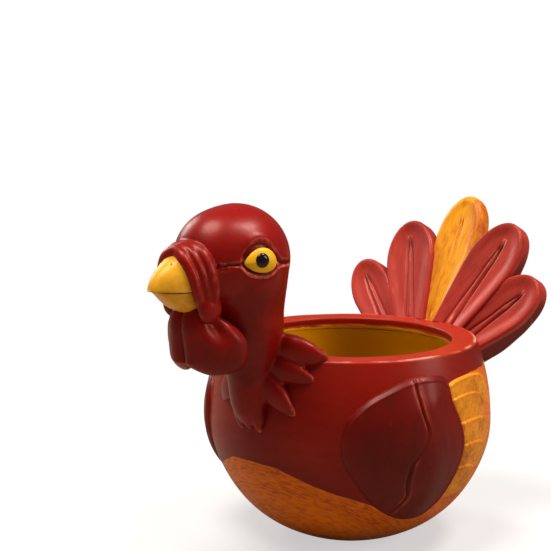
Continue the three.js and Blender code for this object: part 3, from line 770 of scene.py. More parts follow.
# %% Neck
# Rows down the neck: rise, axis, half width, front and back
neck_shares = [
    (0.8, 0.985, 0.95, 0.95, 0.95), (0.7, 0.96, 0.91, 0.91, 0.92),
    (0.6, 0.915, 0.865, 0.86, 0.87), (0.48, 0.83, 0.805, 0.8, 0.8),
    (0.34, 0.76, 0.765, 0.74, 0.765), (0.18, 0.66, 0.69, 0.6, 0.68),
    (0.02, 0.58, 0.59, 0.47, 0.61), (-0.2, 0.52, 0.47, 0.42, 0.54),
    (-0.42, 0.5, 0.42, 0.36, 0.5), (-0.62, 0.5, 0.4, 0.32, 0.45),
    (-0.8, 0.5, 0.28, 0.22, 0.35),
]


def neck_rows():
    """Rings from the crown to the bib's tip: height, middle, half width, front, back."""
    rows = []
    for tilt in np.radians(np.linspace(90, -12, 12)):
        radius = head_radius * math.cos(tilt)
        height = head_centre[2] + head_radius * math.sin(tilt)
        rows.append((height, head_centre[1], radius, radius, radius))
    for rise, axis, half, front, back in smooth_line(neck_shares, 14):
        height = pot_height + rise * (head_rise if rise > 0 else bib_drop)
        sizes = [share * head_radius for share in (half, front, back)]
        rows.append((height, -rim_radius - axis * head_out, *sizes))
    rows.append((pot_height - bib_drop, -rim_radius - head_out / 2, 0, 0, 0))
    return np.array(rows)


def neck_place(turn, share):
    height, middle, half, front, back = curve_at(neck_rows(), share).T
    poles = np.sin(math.pi * share) > 1e-6
    deep = np.where(np.cos(turn) > 0, front, back)
    spots = [half * poles * np.sin(turn), middle - deep * poles * np.cos(turn), height]
    return np.stack(spots, axis=1) * MM


print("the neck has", len(neck_rows()), "rings")

# %% Head and face
face_middle = np.array([0, -0.46, 0.03])
face_halves = np.array([0.78, 0.8, 0.87])
seam_share = 0.085
crown_share = 0.99


def head_place(turn, share):
    """The ball of the head and the egg of the face as one form, with a soft seam: along
    every way out from the middle it takes the farther skin, eased where they are level."""
    ring = np.sin(math.pi * share)
    way = np.stack([ring * np.sin(turn), -ring * np.cos(turn), np.cos(math.pi * share)], axis=1)
    slim, middle = way / face_halves, face_middle / face_halves
    square, toward = (slim ** 2).sum(axis=1), slim @ middle
    egg = (toward + np.sqrt(toward ** 2 - square * (middle @ middle - 1))) / square
    reach = seam_share * np.logaddexp(1 / seam_share, egg / seam_share)
    reach *= 1 - (1 - crown_share) * np.maximum(way[:, 2], 0) ** 4
    return (head_centre + way * (reach * head_radius)[:, None]) * MM


front_tip = head_place(np.array([0.0]), np.array([0.5]))[0] / MM
print("the face reaches forward to", front_tip.round(1).tolist())

# %% Eggs and lobes
def egg_place(centre, halves):
    def place(turn, share):
        ring = np.sin(math.pi * share)
        way = np.stack([ring * np.cos(turn), ring * np.sin(turn), np.cos(math.pi * share)], axis=1)
        return (np.asarray(centre) + way * halves) * MM
    return place


def lobe_place(route, half_widths, half_heights, flat, cap=0.12, square=1.0):
    """A rounded lobe along a route, flat across one direction. Its half sizes are given
    along the way, and its ends close in a round cap. Under 1, square makes it boxier."""
    def place(turn, share):
        along = (1 - np.cos(math.pi * share)) / 2
        step = 1e-3
        centre = curve_at(route, along)
        way = curve_at(route, along + step) - curve_at(route, along - step)
        way /= np.linalg.norm(way, axis=1)[:, None]
        side = np.cross(way, flat)
        side /= np.linalg.norm(side, axis=1)[:, None]
        up = np.cross(side, way)
        past = np.maximum(0, (np.abs(2 * along - 1) - 1 + 2 * cap) / (2 * cap))
        close = np.sqrt(np.maximum(0, 1 - past ** 2))
        width = curve_at(half_widths, along)[:, 0] * close
        height = curve_at(half_heights, along)[:, 0] * close
        round_turn = np.stack([np.cos(turn), np.sin(turn)])
        right, rise = np.sign(round_turn) * np.abs(round_turn) ** square
        return (centre + side * (width * right)[:, None] + up * (height * rise)[:, None]) * MM
    return place


egg_top = egg_place((0, 0, 0), (1, 1, 2))(np.zeros(1), np.zeros(1))[0] / MM
print("the top of a small egg:", egg_top.round(2).tolist())

# %% Beak and skin sizes
beak_reach = 29
beak_sink = 6.9
beak_half = 11.5
beak_height = 26.4
mouth_height = head_centre[2] - 9.7
beak_root = head_centre[1] - (face_halves[1] - face_middle[1]) * head_radius + beak_sink


def around_beak(rows):
    """Places given by shares of the beak's half width, reach and height over the mouth."""
    side, forward, up = np.array(rows, float).T
    return np.stack([
        side * beak_half, beak_root - forward * beak_reach, mouth_height + up * beak_height,
    ], axis=1)


def around_head(rows):
    side, forward, up = np.array(rows, float).T
    return head_centre + np.stack([side, -forward, up], axis=1) * head_radius


def both_sides(line):
    """A line that starts in the middle plane, carried on over it to the other side."""
    return np.vstack([line[:0:-1] * (-1, 1, 1), line])


fold_lines = [
    [(0, 0.375, 0.625), (0.505, 0.41, 0.52), (0.895, 0.365, 0.237), (1.02, 0.3, -0.133),
     (0.93, 0.21, -0.453)],
    [(0, 0.273, 0.667), (0.62, 0.268, 0.577), (1.056, 0.215, 0.267), (1.148, 0.135, -0.143),
     (0.964, 0.1, -0.493)],
    [(0, 0.173, 0.677), (0.758, 0.16, 0.597), (1.194, 0.12, 0.297), (1.263, 0.05, -0.123),
     (1.033, 0.04, -0.503)],
]
fold_radii = [1.8, 3, 3.4, 3.4, 3.4, 3, 1.8]
jowl_line = [(0.93, 0.16, 0), (1.02, 0.11, -0.2), (1.05, 0.06, -0.44), (0.918, 0.034, -0.651)]
jowl_sizes = np.array([0.4, 0.9, 0.98, 0.55])
jowl_half = 6.6
jowl_thick = 4.2
fold_bed = (0, 0.11, 0.155)
fold_bed_halves = np.array([1.056, 0.328, 0.54]) * (beak_half, beak_reach, beak_height)
print("beak root and mouth:", round(beak_root, 1), round(mouth_height, 1))

# %% Tufts of the bib
# Rows of degrees round the pot, shares of the bib's drop and of the lift, and a half width
tufts = [
    ([(9, -0.17, 0.6), (18, -0.13, 0.35), (26, -0.07, 0), (32.5, -0.02, -0.6)], 0.2),
    ([(5, 0.08, 0.7), (12.5, 0.14, 0.5), (20.5, 0.19, 0.25), (27.5, 0.26, -0.15)], 0.19),
    ([(3, 0.24, 0.8), (8.5, 0.37, 0.55), (14.5, 0.54, 0.3), (20.5, 0.73, -0.1)], 0.2),
    ([(1.5, 0.42, 0.7), (3, 0.6, 0.5), (4.4, 0.8, 0.3), (5, 1.02, -0.1)], 0.16),
]
tuft_height = 4.8
tuft_taper = np.array([0.9, 1, 0.72, 0.16])


def tuft_route(rows):
    degrees, drop, lift = np.array(rows).T
    height = pot_height - drop * bib_drop
    spots = on_pot(degrees, np.minimum(height, pot_height - rim_edge), lift * tuft_height)
    spots[:, 2] = np.maximum(spots[:, 2], height)
    return spots


print("the first tuft ends at", tuft_route(tufts[0][0])[-1].round(1).tolist())

# %% Clay tools
first_voxel = 0.7
last_voxel = 0.55


def add_clay(clay, around, along, place, sides=(1,)):
    """Adds a ball of rings to the clay, and its mirror image where two sides are named."""
    for side in sides:
        mesh = shaped_ball("form", around, along, place)
        if side < 0:
            mesh = mirrored_mesh(mesh, "form")
        clay.from_mesh(mesh)
        bpy.data.meshes.remove(mesh)


def clay_of(mesh):
    """Takes a mesh up as clay again, so that more forms can be added to it."""
    clay = bmesh.new()
    clay.from_mesh(mesh)
    bpy.data.meshes.remove(mesh)
    return clay


def remeshed(clay, voxel):
    """The outer skin of all the overlapping forms, in small even faces."""
    mesh = bpy.data.meshes.new("clay")
    clay.to_mesh(mesh)
    clay.free()
    carrier = bpy.data.objects.new("carrier", mesh)
    bpy.context.scene.collection.objects.link(carrier)
    remesh = carrier.modifiers.new("skin", "REMESH")
    remesh.mode = "VOXEL"
    remesh.voxel_size = voxel * MM
    remesh.adaptivity = 0
    view = bpy.context.evaluated_depsgraph_get()
    skin = bpy.data.meshes.new_from_object(carrier.evaluated_get(view))
    bpy.data.objects.remove(carrier)
    bpy.data.meshes.remove(mesh)
    return skin


def smoothed(mesh, rounds):
    write_points(mesh, relaxed(read_points(mesh), edge_pairs(mesh), rounds))


print("clay is joined in faces of", first_voxel, "and then", last_voxel, "mm")

# %% Head and neck in clay
neck_rounds = 25
tuft_rounds = 22
fold_rounds = 15
clay = bmesh.new()
add_clay(clay, 96, 140, neck_place)
add_clay(clay, 96, 96, head_place)
neck_mesh = remeshed(clay, first_voxel)
smoothed(neck_mesh, neck_rounds)
print("head and neck:", len(neck_mesh.vertices), "points")

# %% Tufts in clay
clay = clay_of(neck_mesh)
for rows, half in tufts:
    route = tuft_route(rows)
    flat = route[1] * (1, 1, 0)
    sizes = tuft_taper * half * bib_drop
    add_clay(clay, 32, 48, lobe_place(
        route, sizes, tuft_taper * tuft_height, flat / np.linalg.norm(flat), square=0.85,
    ), (1, -1))
neck_mesh = remeshed(clay, first_voxel)
smoothed(neck_mesh, tuft_rounds)
print("with tufts:", len(neck_mesh.vertices), "points")

# %% Folds and jowls in clay
clay = clay_of(neck_mesh)
add_clay(clay, 48, 36, egg_place(around_beak([fold_bed])[0], fold_bed_halves))
for line in fold_lines:
    route = both_sides(around_beak(line))
    add_clay(clay, 24, 80, lobe_place(route, fold_radii, fold_radii, (0, 1, 0)))
add_clay(clay, 32, 40, lobe_place(
    around_beak(jowl_line), jowl_sizes * jowl_half, jowl_sizes * jowl_thick, (1, 0, 0), 0.2,
), (1, -1))
head_mesh = remeshed(clay, last_voxel)
smoothed(head_mesh, fold_rounds)
print("casting:", len(head_mesh.vertices), "points")

# %% [markdown]
# ## Fine lines on the head
# On the real piece the cheek's fold, the eye's socket and the grooves between the folds
# were drawn into the clay with a tool. Here a curve is laid on the casting, and the points
# near it move along their normals: inwards for a groove, outwards for a ridge, and less
# and less with the distance, so that the line has soft banks.

# %% Carving along lines
def carve(mesh, line, depth, width, fade=0.12, closed=False):
    """Sinks a groove along a line of places, or raises a ridge where the depth is below
    zero. It fades out towards both ends unless the line is closed."""
    points = read_points(mesh) / MM
    low, high = line.min(axis=0) - 4 * width, line.max(axis=0) + 4 * width
    near = np.flatnonzero(((points > low) & (points < high)).all(axis=1))
    gap, share = line_distance(points[near], line, closed)
    strength = np.exp(-(gap / width) ** 2)
    if not closed:
        strength *= smooth_step(share, 0, fade) * smooth_step(1 - share, 0, fade)
    normals = point_normals(mesh)[near]
    points[near] -= normals * (depth * strength)[:, None]
    write_points(mesh, points * MM)


def touching(mesh, line, rounds=6):
    """The same line, moved onto the nearest points of the mesh and smoothed again, because
    those points lie a little to one side or the other."""
    points = read_points(mesh) / MM
    line = np.array([points[((points - place) ** 2).sum(axis=1).argmin()] for place in line])
    for _ in range(rounds):
        line[1:-1] = 0.25 * line[:-2] + 0.5 * line[1:-1] + 0.25 * line[2:]
    return line


def soften(mesh, middle, reach, rounds):
    """Smooths a mesh near a place, less and less towards the reach."""
    points = read_points(mesh)
    gap = np.linalg.norm(points / MM - middle, axis=1)
    weight = np.exp(-(gap / reach) ** 2)[:, None]
    smooth = relaxed(points, edge_pairs(mesh), rounds)
    write_points(mesh, points + (smooth - points) * weight)


def carve_pair(mesh, line, *size):
    """Carves a line of the left side and its mirror image on the right."""
    for side in (1, -1):
        carve(mesh, touching(mesh, line * (side, 1, 1)), *size)


print("carving tools are ready")

# %% Lines round the eyes
# Places on the head: degrees round from its front, and degrees up
eye_outline = [
    (55, 3), (62, 12.5), (73, 17.5), (84.5, 15), (91.5, 5.5), (89.5, -4), (79.5, -8),
    (68.5, -7), (59.5, -2.5),
]
eye_middle = np.array([73.5, 4.5])
socket_share = 1.08
socket = [eye_middle + (np.array(place) - eye_middle) * socket_share for place in eye_outline]
upper_crease = [
    (52, 5), (57, 13), (64, 19), (74, 21.5), (83, 19), (92, 9.5), (100, 1), (114, -2),
    (130, -3),
]
brow_swell = [(52, 12), (59, 22), (67, 27.5), (77, 28.5), (87, 24), (97, 14)]
cheek_groove = [(20, 0), (30, 0), (39, 0.3), (51, 0.8)]
cheek_ledge = [
    (22, -3.2), (30, -4), (39, -4.2), (51, -1.6), (57, -8.2), (67, -12.3), (78, -14),
    (89, -11.6), (97, -4.5), (106, -4.2), (118, -5.2), (131, -6),
]
ledge_hollow = [
    (51, -3.6), (57, -10.8), (67, -15), (78, -16.6), (89, -14.2), (98, -7),
]
# Line, depth, width, share that fades out, and whether it is closed
carvings = [
    (brow_swell, -0.9, 3.6, 0.3, False),
    (upper_crease, 1.5, 1.25, 0.1, False),
    (socket, 1.2, 0.9, 0, True),
    (cheek_groove, 1.3, 1.2, 0.12, False),
    (ledge_hollow, 0.4, 1.2, 0.2, False),
    (cheek_ledge, -0.6, 0.65, 0.06, False),
]
print(len(carvings), "lines on each side of the head")

# %% Carve the head
jowl_root = around_beak([(1.2, 0.12, -0.17)])[0]
jowl_root_reach = 5
jowl_root_rounds = 60
fold_groove = (0.45, 1.3, 0.15)
groove_lift = 2.5
groove_forward = 2

for side in (1, -1):
    soften(head_mesh, jowl_root * (side, 1, 1), jowl_root_reach, jowl_root_rounds)
for rows, depth, width, fade, closed in carvings:
    line = on_head(*smooth_line(rows, 50, closed).T)
    carve_pair(head_mesh, line, depth, width, fade, closed)
for first, second in ((0, 1), (1, 2)):
    between = (np.array(fold_lines[first]) + np.array(fold_lines[second])) / 2
    between = between[:-1]
    outward = between * (1, 0, 1) * groove_lift
    lifted = around_beak(between) + (0, -groove_forward, 0) + outward
    carve_pair(head_mesh, smooth_line(lifted, 40), *fold_groove)
print("carved the eye sockets, the cheek lines and the grooves between the folds")

# %% The head's place on the pot
points = read_points(head_mesh) / MM
keep_in_wall(points)
write_points(head_mesh, points * MM)
head_nodes = ["head_and_neck", "beak_cowl"]
head_nodes += [f"{side}_{part}" for side in sides for part in ("jowl", "brow", "eyelid")]
head_nodes += [f"{side}_tuft_{i}" for side in sides for i in range(1, 5)]
add_piece("head_casting", head_mesh, head_nodes)

# %% [markdown]
# ## The wattles
# The two loose folds of skin under the beak are thick soft lobes that curl forwards
# round a hollow. Each is one lobe along a curve, remeshed into even faces. A wide groove
# sinks its hollow, and two wide low ridges raise the rolls in front of it and behind it.

# %% Wattles
wattle_length = 34
wattle_half = 15.5
wattle_depth = 15
wattle_shares = np.array([(0.3, 0.9, 0), (0.42, 0.78, 0.3), (0.68, 0.42, 0.7), (0.72, 0.36, 1)])
throat = around_head([(0, 0.62, -0.7)])[0]
wattle_route = throat + np.stack([
    wattle_shares[:, 0] * wattle_half, -wattle_shares[:, 1] * wattle_half,
    -wattle_shares[:, 2] * wattle_length,
], axis=1)
wattle_widths = np.array([0.4, 0.66, 1, 0.62]) * wattle_half
wattle_depths = np.array([0.6, 0.9, 1, 0.55]) * wattle_depth / 2
wattle_face = (0.78, -0.62, 0)
hollow_line = [
    (10, -113.5, 134), (12.6, -112, 129.5), (15.2, -110.2, 125), (17.2, -108, 120),
    (18.4, -106.2, 116),
]
front_ridge = [(9.6, -117, 128), (11.9, -115.4, 122.6), (14.6, -113, 116.6), (18.2, -107.2, 112.6)]
rear_ridge = [(15.6, -106.5, 127.5), (17.2, -104.9, 124), (19.3, -101.8, 119), (21, -98.9, 113.5)]
# Line, depth, width and share that fades out
wattle_carvings = [
    (hollow_line, 2.6, 3.4, 0.55),
    (front_ridge, -0.6, 2.8, 0.35),
    (rear_ridge, -0.6, 2.6, 0.4),
]
wattle_rounds = 5
wattle_gap = 0.15

clay = bmesh.new()
add_clay(clay, 64, 80, lobe_place(wattle_route, wattle_widths, wattle_depths, wattle_face, 0.2))
wattle_mesh = remeshed(clay, last_voxel)
smoothed(wattle_mesh, wattle_rounds + 1)
for line, *size in wattle_carvings:
    carve(wattle_mesh, touching(wattle_mesh, smooth_line(line, 30)), *size)
    smoothed(wattle_mesh, wattle_rounds)
points = read_points(wattle_mesh)
points[:, 0] = np.maximum(points[:, 0], wattle_gap * MM)
write_points(wattle_mesh, points)
add_pair("wattle_skin", wattle_mesh, ["wattle"])

# %% [markdown]
# ## The beak and the eyes
# The beak is two smooth horns with a thin dark line for the mouth between them. Each is
# a ball of rings whose poles are the root and the tip. The eyes are low almond domes, and
# each pupil is a smaller dome on top. A dome is a pad: an outline on a surface, whose
# height grows with the distance from its edge. The wings and scales use pads as well.

# %% Beak
# Reach, top and bottom over the mouth, half width
beak_rows = np.array([
    (-0.02, 0, 0, 0), (0.02, 0.6, -0.38, 0.92), (0.14, 0.66, -0.42, 1), (0.3, 0.65, -0.41, 0.99),
    (0.5, 0.585, -0.31, 0.88), (0.66, 0.48, -0.2, 0.71), (0.78, 0.37, -0.11, 0.54),
    (0.89, 0.23, -0.045, 0.35), (0.96, 0.1, -0.01, 0.2), (1, -0.03, -0.01, 0),
])
mouth_gap = 0.35
mouth_flat = 0.25
beak_square = 0.8
middle_droop = 1.25
tip_droop = 0.4
lower_wide = 0.93
lower_short = 0.84
nostril = np.array([(3.2, -127.9, 155.3), (3.5, -127.1, 155.1)])
nostril_size = (0.9, 0.75, 0.01)


def beak_place(upper):
    def place(turn, share):
        reach, top, bottom, wide = curve_at(beak_rows, share).T
        closed = np.sin(math.pi * share) > 1e-6
        rise = np.sin(turn)
        across = np.sign(np.cos(turn)) * np.abs(np.cos(turn)) ** beak_square
        part = np.clip(reach, 0, 1)
        droop = middle_droop * np.sin(math.pi * part) + tip_droop * part
        if upper:
            tall = np.maximum(top, 0.02) * beak_height
            height = mouth_gap + np.where(rise > 0, tall * rise, mouth_flat * rise) * closed
        else:
            deep = np.maximum(-bottom, 0.004) * beak_height
            height = -mouth_gap + np.where(rise < 0, deep * rise, mouth_flat * rise) * closed
            wide = wide * lower_wide
            reach = np.where(reach > 0.5, 0.5 + (reach - 0.5) * lower_short, reach)
        return np.stack([
            across * wide * beak_half * closed,
            beak_root - reach * beak_reach,
            mouth_height - droop + height,
        ], axis=1) * MM
    return place


upper_mesh = shaped_ball("upper_beak_horn", 96, 110, beak_place(True))
carve_pair(upper_mesh, nostril, *nostril_size)
lower_mesh = shaped_ball("lower_beak_horn", 96, 90, beak_place(False))


def along_beak(mesh):
    return read_points(mesh) * (1, 0.3, 1)


add_piece("upper_beak_horn", upper_mesh, ["upper_beak"], along_beak(upper_mesh))
add_piece("lower_beak_horn", lower_mesh, ["lower_beak"], along_beak(lower_mesh))

# %% Pads on a surface
def rounded(gap, width):
    """A quarter-round climb over a width in from an edge, from 0 to 1."""
    part = np.clip(gap / width, 0, 1)
    return np.sqrt(1 - (1 - part) ** 2)


def ring_spots(turn, reach, edge, middle, spine=0.0):
    """Places of a pad's rings between its middle and its edge, and their distance from the
    edge. The spine is how far the middle is drawn out into a line."""
    index = np.round(turn / (2 * math.pi) * len(edge)).astype(int) % len(edge)
    way = edge[index] - middle
    heart = middle + way * (0, spine) * smooth_step(reach, 0, 0.3)[:, None]
    spots = heart + (edge[index] - heart) * reach[:, None]
    gap, _ = line_distance(spots, edge, closed=True)
    return spots, np.where(reach > 1 - 1e-6, 0, gap)


top_share = 0.9
crowd = 1.7


def pad(name, outline, surface, lift_at, sink, around, along):
    """A pad with a closed outline on a surface. surface(across, along, lift) gives places,
    and lift_at(places, edge_gap) the height of its top over the surface. Its rings crowd
    towards the edge, where it is round, and the last tenth of them close it below."""
    edge = even_line(outline, around, closed=True)
    middle = (edge.min(axis=0) + edge.max(axis=0)) / 2

    def place(turn, share):
        on_top = share <= top_share
        inward = np.maximum(0, 1 - share / top_share) ** crowd
        under = np.where(on_top, 0, (share - top_share) / (1 - top_share))
        spots, gap = ring_spots(turn, 1 - inward - under, edge, middle)
        lift = np.where(on_top, lift_at(spots, gap), -sink)
        return surface(spots[:, 0], spots[:, 1], lift) * MM

    return shaped_ball(name, around, along, place)


print("a pad's roll:", rounded(np.array([0, 0.5, 1, 2]), 2).round(2).tolist())

# %% Eyes and pupils
eye_bulge = 2.2
eye_roll = 6.5
eye_sink = 1.6
pupil_middle = np.array([72.8, 5])
pupil_radius = 3.3
pupil_bulge = 0.9
pupil_roll = 2.4
pupil_tuck = 0.5
pupil_sink = -0.6
dome_power = 0.9
head_degree = head_radius * math.pi / 180


def eye_surface(across, up, lift):
    return on_head(across / head_degree, up / head_degree, lift)


def eye_lift(spots, gap):
    return eye_bulge * rounded(gap, eye_roll) ** dome_power


def pupil_lift(spots, gap):
    return eye_bulge - pupil_tuck + (pupil_tuck + pupil_bulge) * rounded(gap, pupil_roll)


outline = np.array(eye_outline) * head_degree
eye_mesh = pad("left_eye_dome", outline, eye_surface, eye_lift, eye_sink, 96, 40)
turns = np.linspace(0, 2 * math.pi, 12, endpoint=False)
circle = np.stack([np.cos(turns), np.sin(turns)], axis=1)
pupil_ring = pupil_middle * head_degree + pupil_radius * circle
pupil_mesh = pad("left_pupil_dome", pupil_ring, eye_surface, pupil_lift, pupil_sink, 64, 30)
right_eye_mesh = mirrored_mesh(eye_mesh, "right_eye_dome")
right_pupil_mesh = mirrored_mesh(pupil_mesh, "right_pupil_dome")
# Both sides use the left one's places as grain, so the two eyes' strokes mirror each other
eye_grain, pupil_grain = read_points(eye_mesh), read_points(pupil_mesh)
add_piece("left_eye_dome", eye_mesh, ["left_eye"], eye_grain)
add_piece("left_pupil_dome", pupil_mesh, ["left_pupil"], pupil_grain)
add_piece("right_eye_dome", right_eye_mesh, ["right_eye"], eye_grain)
add_piece("right_pupil_dome", right_pupil_mesh, ["right_pupil"], pupil_grain)

# %% [markdown]
# ## The wings
# Each wing is a low pad folded against the pot, with a rolled edge all round and a crease
# that parts its raised shoulder from the rear panel. The pad's height over the pot comes
# from two distances: to its outline, for the roll and the low lip inside it, and to the
# crease, for the step and the groove.

# %% Wing sizes
wing_height = 74
wing_foot = 20
wing_lift = 4
wing_roll = 4.6
wing_lip = 0.4
wing_lip_place, wing_lip_width = 2.4, 0.8
wing_dome = 1.3
wing_sink = 1.5
shoulder_step = 0.8
shoulder_roll = 3.6
crease_depth, crease_width = 0.7, 0.65
crease_bank = 0.4
bank_place, bank_width = 1.9, 0.9
crease_steps = 90
rear_lift_share = 0.5
# Stretches over which a height climbs or fades, in millimetres or degrees
dome_climb = (1.5, 16)
rear_degrees = (73, 84)
step_fade = (2, 16)
step_fade_share = 0.6
pot_degree = pot_radius * math.pi / 180
wing_outline = [
    (82, 1), (73, 1.01), (65, 0.995), (57, 0.945), (50, 0.89), (44.5, 0.82), (41, 0.75),
    (39, 0.665), (38.6, 0.575), (39.6, 0.47), (43, 0.365), (47, 0.25), (53, 0.14),
    (61, 0.055), (70, 0.01), (80, 0.02), (86, 0.1), (89.5, 0.24), (91.8, 0.4), (92.8, 0.52),
    (92, 0.63), (89.6, 0.73), (87, 0.84), (86.4, 0.93),
]
crease_rows = [
    (68.4, 1.02), (68.5, 0.93), (69.5, 0.825), (70.6, 0.75), (71.8, 0.68), (71.4, 0.625),
    (69.6, 0.56), (66.6, 0.49), (65, 0.43), (64.2, 0.33), (65, 0.24), (63, 0.17), (59.5, 0.1),
    (57, 0.05),
]
crease_strength = [1, 1, 1, 1, 0.9, 0.35, 0.15, 0.55, 1, 1, 1, 0.9, 0.5, 0.1]
print("a wing's roll is", wing_roll, "mm wide and the pad", wing_lift, "mm high")

# %% Wings
def on_wing(rows):
    degrees, share = np.array(rows).T
    return np.stack([degrees * pot_degree, wing_foot + share * wing_height], axis=1)


def wing_surface(across, height, lift):
    return on_pot(across / pot_degree, height, lift)


def bump(distance, place, width):
    """1 where a distance is that of the place, falling to 0 on both sides of it."""
    return np.exp(-((distance - place) / width) ** 2)


crease_line = smooth_line(on_wing(crease_rows), crease_steps)
crease_shares = np.linspace(0, 1, crease_steps)
crease_power = curve_at(crease_strength, crease_shares)[:, 0]


def wing_top(spots, gap):
    from_crease, share = line_distance(spots, crease_line)
    power = np.interp(share, crease_shares, crease_power)
    order = np.argsort(crease_line[:, 1])
    behind = spots[:, 0] - np.interp(spots[:, 1], crease_line[order, 1], crease_line[order, 0])
    dome = wing_lift - wing_dome + wing_dome * smooth_step(gap, *dome_climb)
    rearward = smooth_step(spots[:, 0] / pot_degree, *rear_degrees)
    rolled_step = (1 - rounded(from_crease, shoulder_roll)) * shoulder_step
    rear_step = shoulder_step * (1 - smooth_step(behind, *step_fade) * step_fade_share)
    dome -= power * np.where(behind < 0, rolled_step, rear_step)
    dome -= power * crease_depth * bump(from_crease, 0, crease_width)
    dome += power * crease_bank * bump(from_crease, bank_place, bank_width) * (behind > 0)
    dome *= 1 - (1 - rear_lift_share) * rearward
    dome += wing_lip * bump(gap, wing_lip_place, wing_lip_width)
    return dome * rounded(gap, wing_roll)


wing_strokes = (0.6, 1, 0.35)
outline = on_wing(wing_outline)
wing_mesh = pad("left_wing_pad", outline, wing_surface, wing_top, wing_sink, 300, 100)
add_pair("wing_pad", wing_mesh, ["wing_shoulder", "wing_rear"], wing_strokes)

# %% [markdown]
# ## The flank scales
# Five yellow scales overlap like tiles behind each wing. Each is thick at its upper edge
# and thins towards its foot, so that a small shadow falls above every one of them.

# %% Flank scales
scale_edges = [(88, 115), (88, 109), (90, 112), (90, 110), (86, 105)]
scale_tops = [91.5, 83.5, 70.5, 58.8, 47.5]
scale_outline_shares = np.array([
    (0.5, 0), (0.8, 0.07), (0.97, 0.3), (1, 0.6), (0.93, 0.88), (0.5, 1), (0.07, 0.88),
    (0, 0.6), (0.03, 0.3), (0.2, 0.07),
])
scale_height = 18
scale_lift = 1.85
scale_foot = 0.35
scale_sink = 1.2
scale_tuck = 7
scale_round = 1.3
scale_lip, scale_lip_width = 0.25, 0.8
scale_strokes = (1, 1, 0.8)
scale_taper = 0.8
under_wing = (-2.6, 0.3)
under_wing_share = 0.1
rear_outline = np.array(wing_outline[-8:])


def clear_of_wing(spots):
    """0 where a scale lies under the wing's rear edge, and 1 just behind it."""
    heights = wing_foot + rear_outline[:, 1] * wing_height
    edge = np.interp(spots[:, 1], heights, rear_outline[:, 0])
    return smooth_step(spots[:, 0] / pot_degree - edge, *under_wing)


def add_scale(i):
    (front, rear), top = scale_edges[i], scale_tops[i]
    across, down = scale_outline_shares.T
    tucked = front - scale_tuck
    outline = np.stack([
        (tucked + (rear - tucked) * across) * pot_degree, top - scale_height * down,
    ], axis=1)

    def scale_top(spots, gap):
        down = np.clip((top - spots[:, 1]) / scale_height, 0, 1)
        thick = scale_lift * (1 + (scale_foot - 1) * down ** scale_taper)
        lip = scale_lip * bump(gap, scale_round, scale_lip_width) * (1 - down)
        shown = under_wing_share + (1 - under_wing_share) * clear_of_wing(spots)
        return (thick + lip) * rounded(gap, scale_round) * shown

    mesh = pad("flank_scale", outline, wing_surface, scale_top, scale_sink, 120, 50)
    part, nodes = f"flank_scale_{i + 1}", [f"scale_{i + 1}"]
    add_pair(part, mesh, nodes, scale_strokes)


for i in range(len(scale_edges)):
    add_scale(i)

# %% [markdown]
# ## The tail fan
# Five thick feathers stand in a fan that leans back from the rim. Each has a raised lip
# round its edge, a shallow dish inside the lip, and a quill drawn by two grooves that
# meet at a point. They are balls of rings like the pads, but thick ones with rounded edges
# and a back, in the fan's own plane. The relief that the paint reads is damped where a
# feather dips behind the rim and on its back, and lowered below zero on the walls that
# face down, which the paint turns into painted shade.

# %% Fan sizes
tail_tilt = math.radians(27)
tail_stand_off = 3.4
hub_depth = 35
feather_length = 111.2
feather_half = 15.8
feather_thick = 11
feather_set_back = 2
fan_origin = np.array([0, rim_radius - tail_stand_off, pot_height])
fan_up = np.array([0, math.sin(tail_tilt), math.cos(tail_tilt)])
fan_out = np.array([0, -math.cos(tail_tilt), math.sin(tail_tilt)])
feather_widths = [(0, 0.36), (0.2, 0.48), (0.4, 0.67), (0.6, 0.88), (0.75, 1), (0.82, 1)]
widest_share = 0.76
# Angle in the fan, length, half width, step back, roundness of the edge, depth and width
# of the quill's grooves
feathers = [
    (44, 0.798, 0.82, 0.5, 2, 0.7, 0.95),
    (20.4, 0.876, 1, 0, 2, 0.7, 0.95),
    (0, 1, 0.95, 1, 4.5, 0.45, 0.9),
    (-21.8, 0.928, 1.01, 0, 1.3, 1, 0.62),
    (-43.2, 0.818, 0.93, 0.5, 1.3, 1, 0.62),
]


def in_fan(across, up, lift, angle, back):
    """Places in the fan's plane, turned about the hub and set back."""
    turn = math.radians(angle)
    right = across * math.cos(turn) - up * math.sin(turn)
    rise = across * math.sin(turn) + up * math.cos(turn) - hub_depth
    out = lift - back * feather_set_back
    sideways = np.outer(right, (1, 0, 0))
    return fan_origin + sideways + np.outer(rise, fan_up) + np.outer(out, fan_out)


def out_of_fan(points):
    """For places in millimetres, their rise along the fan's slope and depth behind it."""
    return (points - fan_origin) @ fan_up, -((points - fan_origin) @ fan_out)


print("fan origin:", fan_origin.round(1).tolist())

# %% Feather face
dish_depth = 1.2
dish_start = 1.2
dish_end = 8
back_round = 3.2
quill_end = 0.89
quill_half = 1.7
quill_height, quill_taper = 0.45, 0.7
valley_depth, valley_width = 0.35, 3.6
quill_point = 0.13
quill_broader, broad_until = 0.5, 0.7
ridge_share, ridge_least = 0.7, 0.4
# Shares of the feather's length over which the quill narrows and its grooves end
quill_narrows = (0, 0.3)
groove_ends = (-0.02, 0.04)


def feather_outline(length, half):
    """One half of the outline widens along a curve and closes in a quarter of an ellipse,
    and the other half is its mirror image."""
    rows = smooth_line(feather_widths, 60)
    rows = rows[rows[:, 0] < widest_share]
    turn = np.radians(np.linspace(0, 88, 24))
    tip = np.stack([widest_share + (1 - widest_share) * np.sin(turn), np.cos(turn)], axis=1)
    side = np.vstack([rows, tip])[:, ::-1] * (half, length)
    return np.vstack([side, [(0, length)], side[::-1] * (-1, 1)])


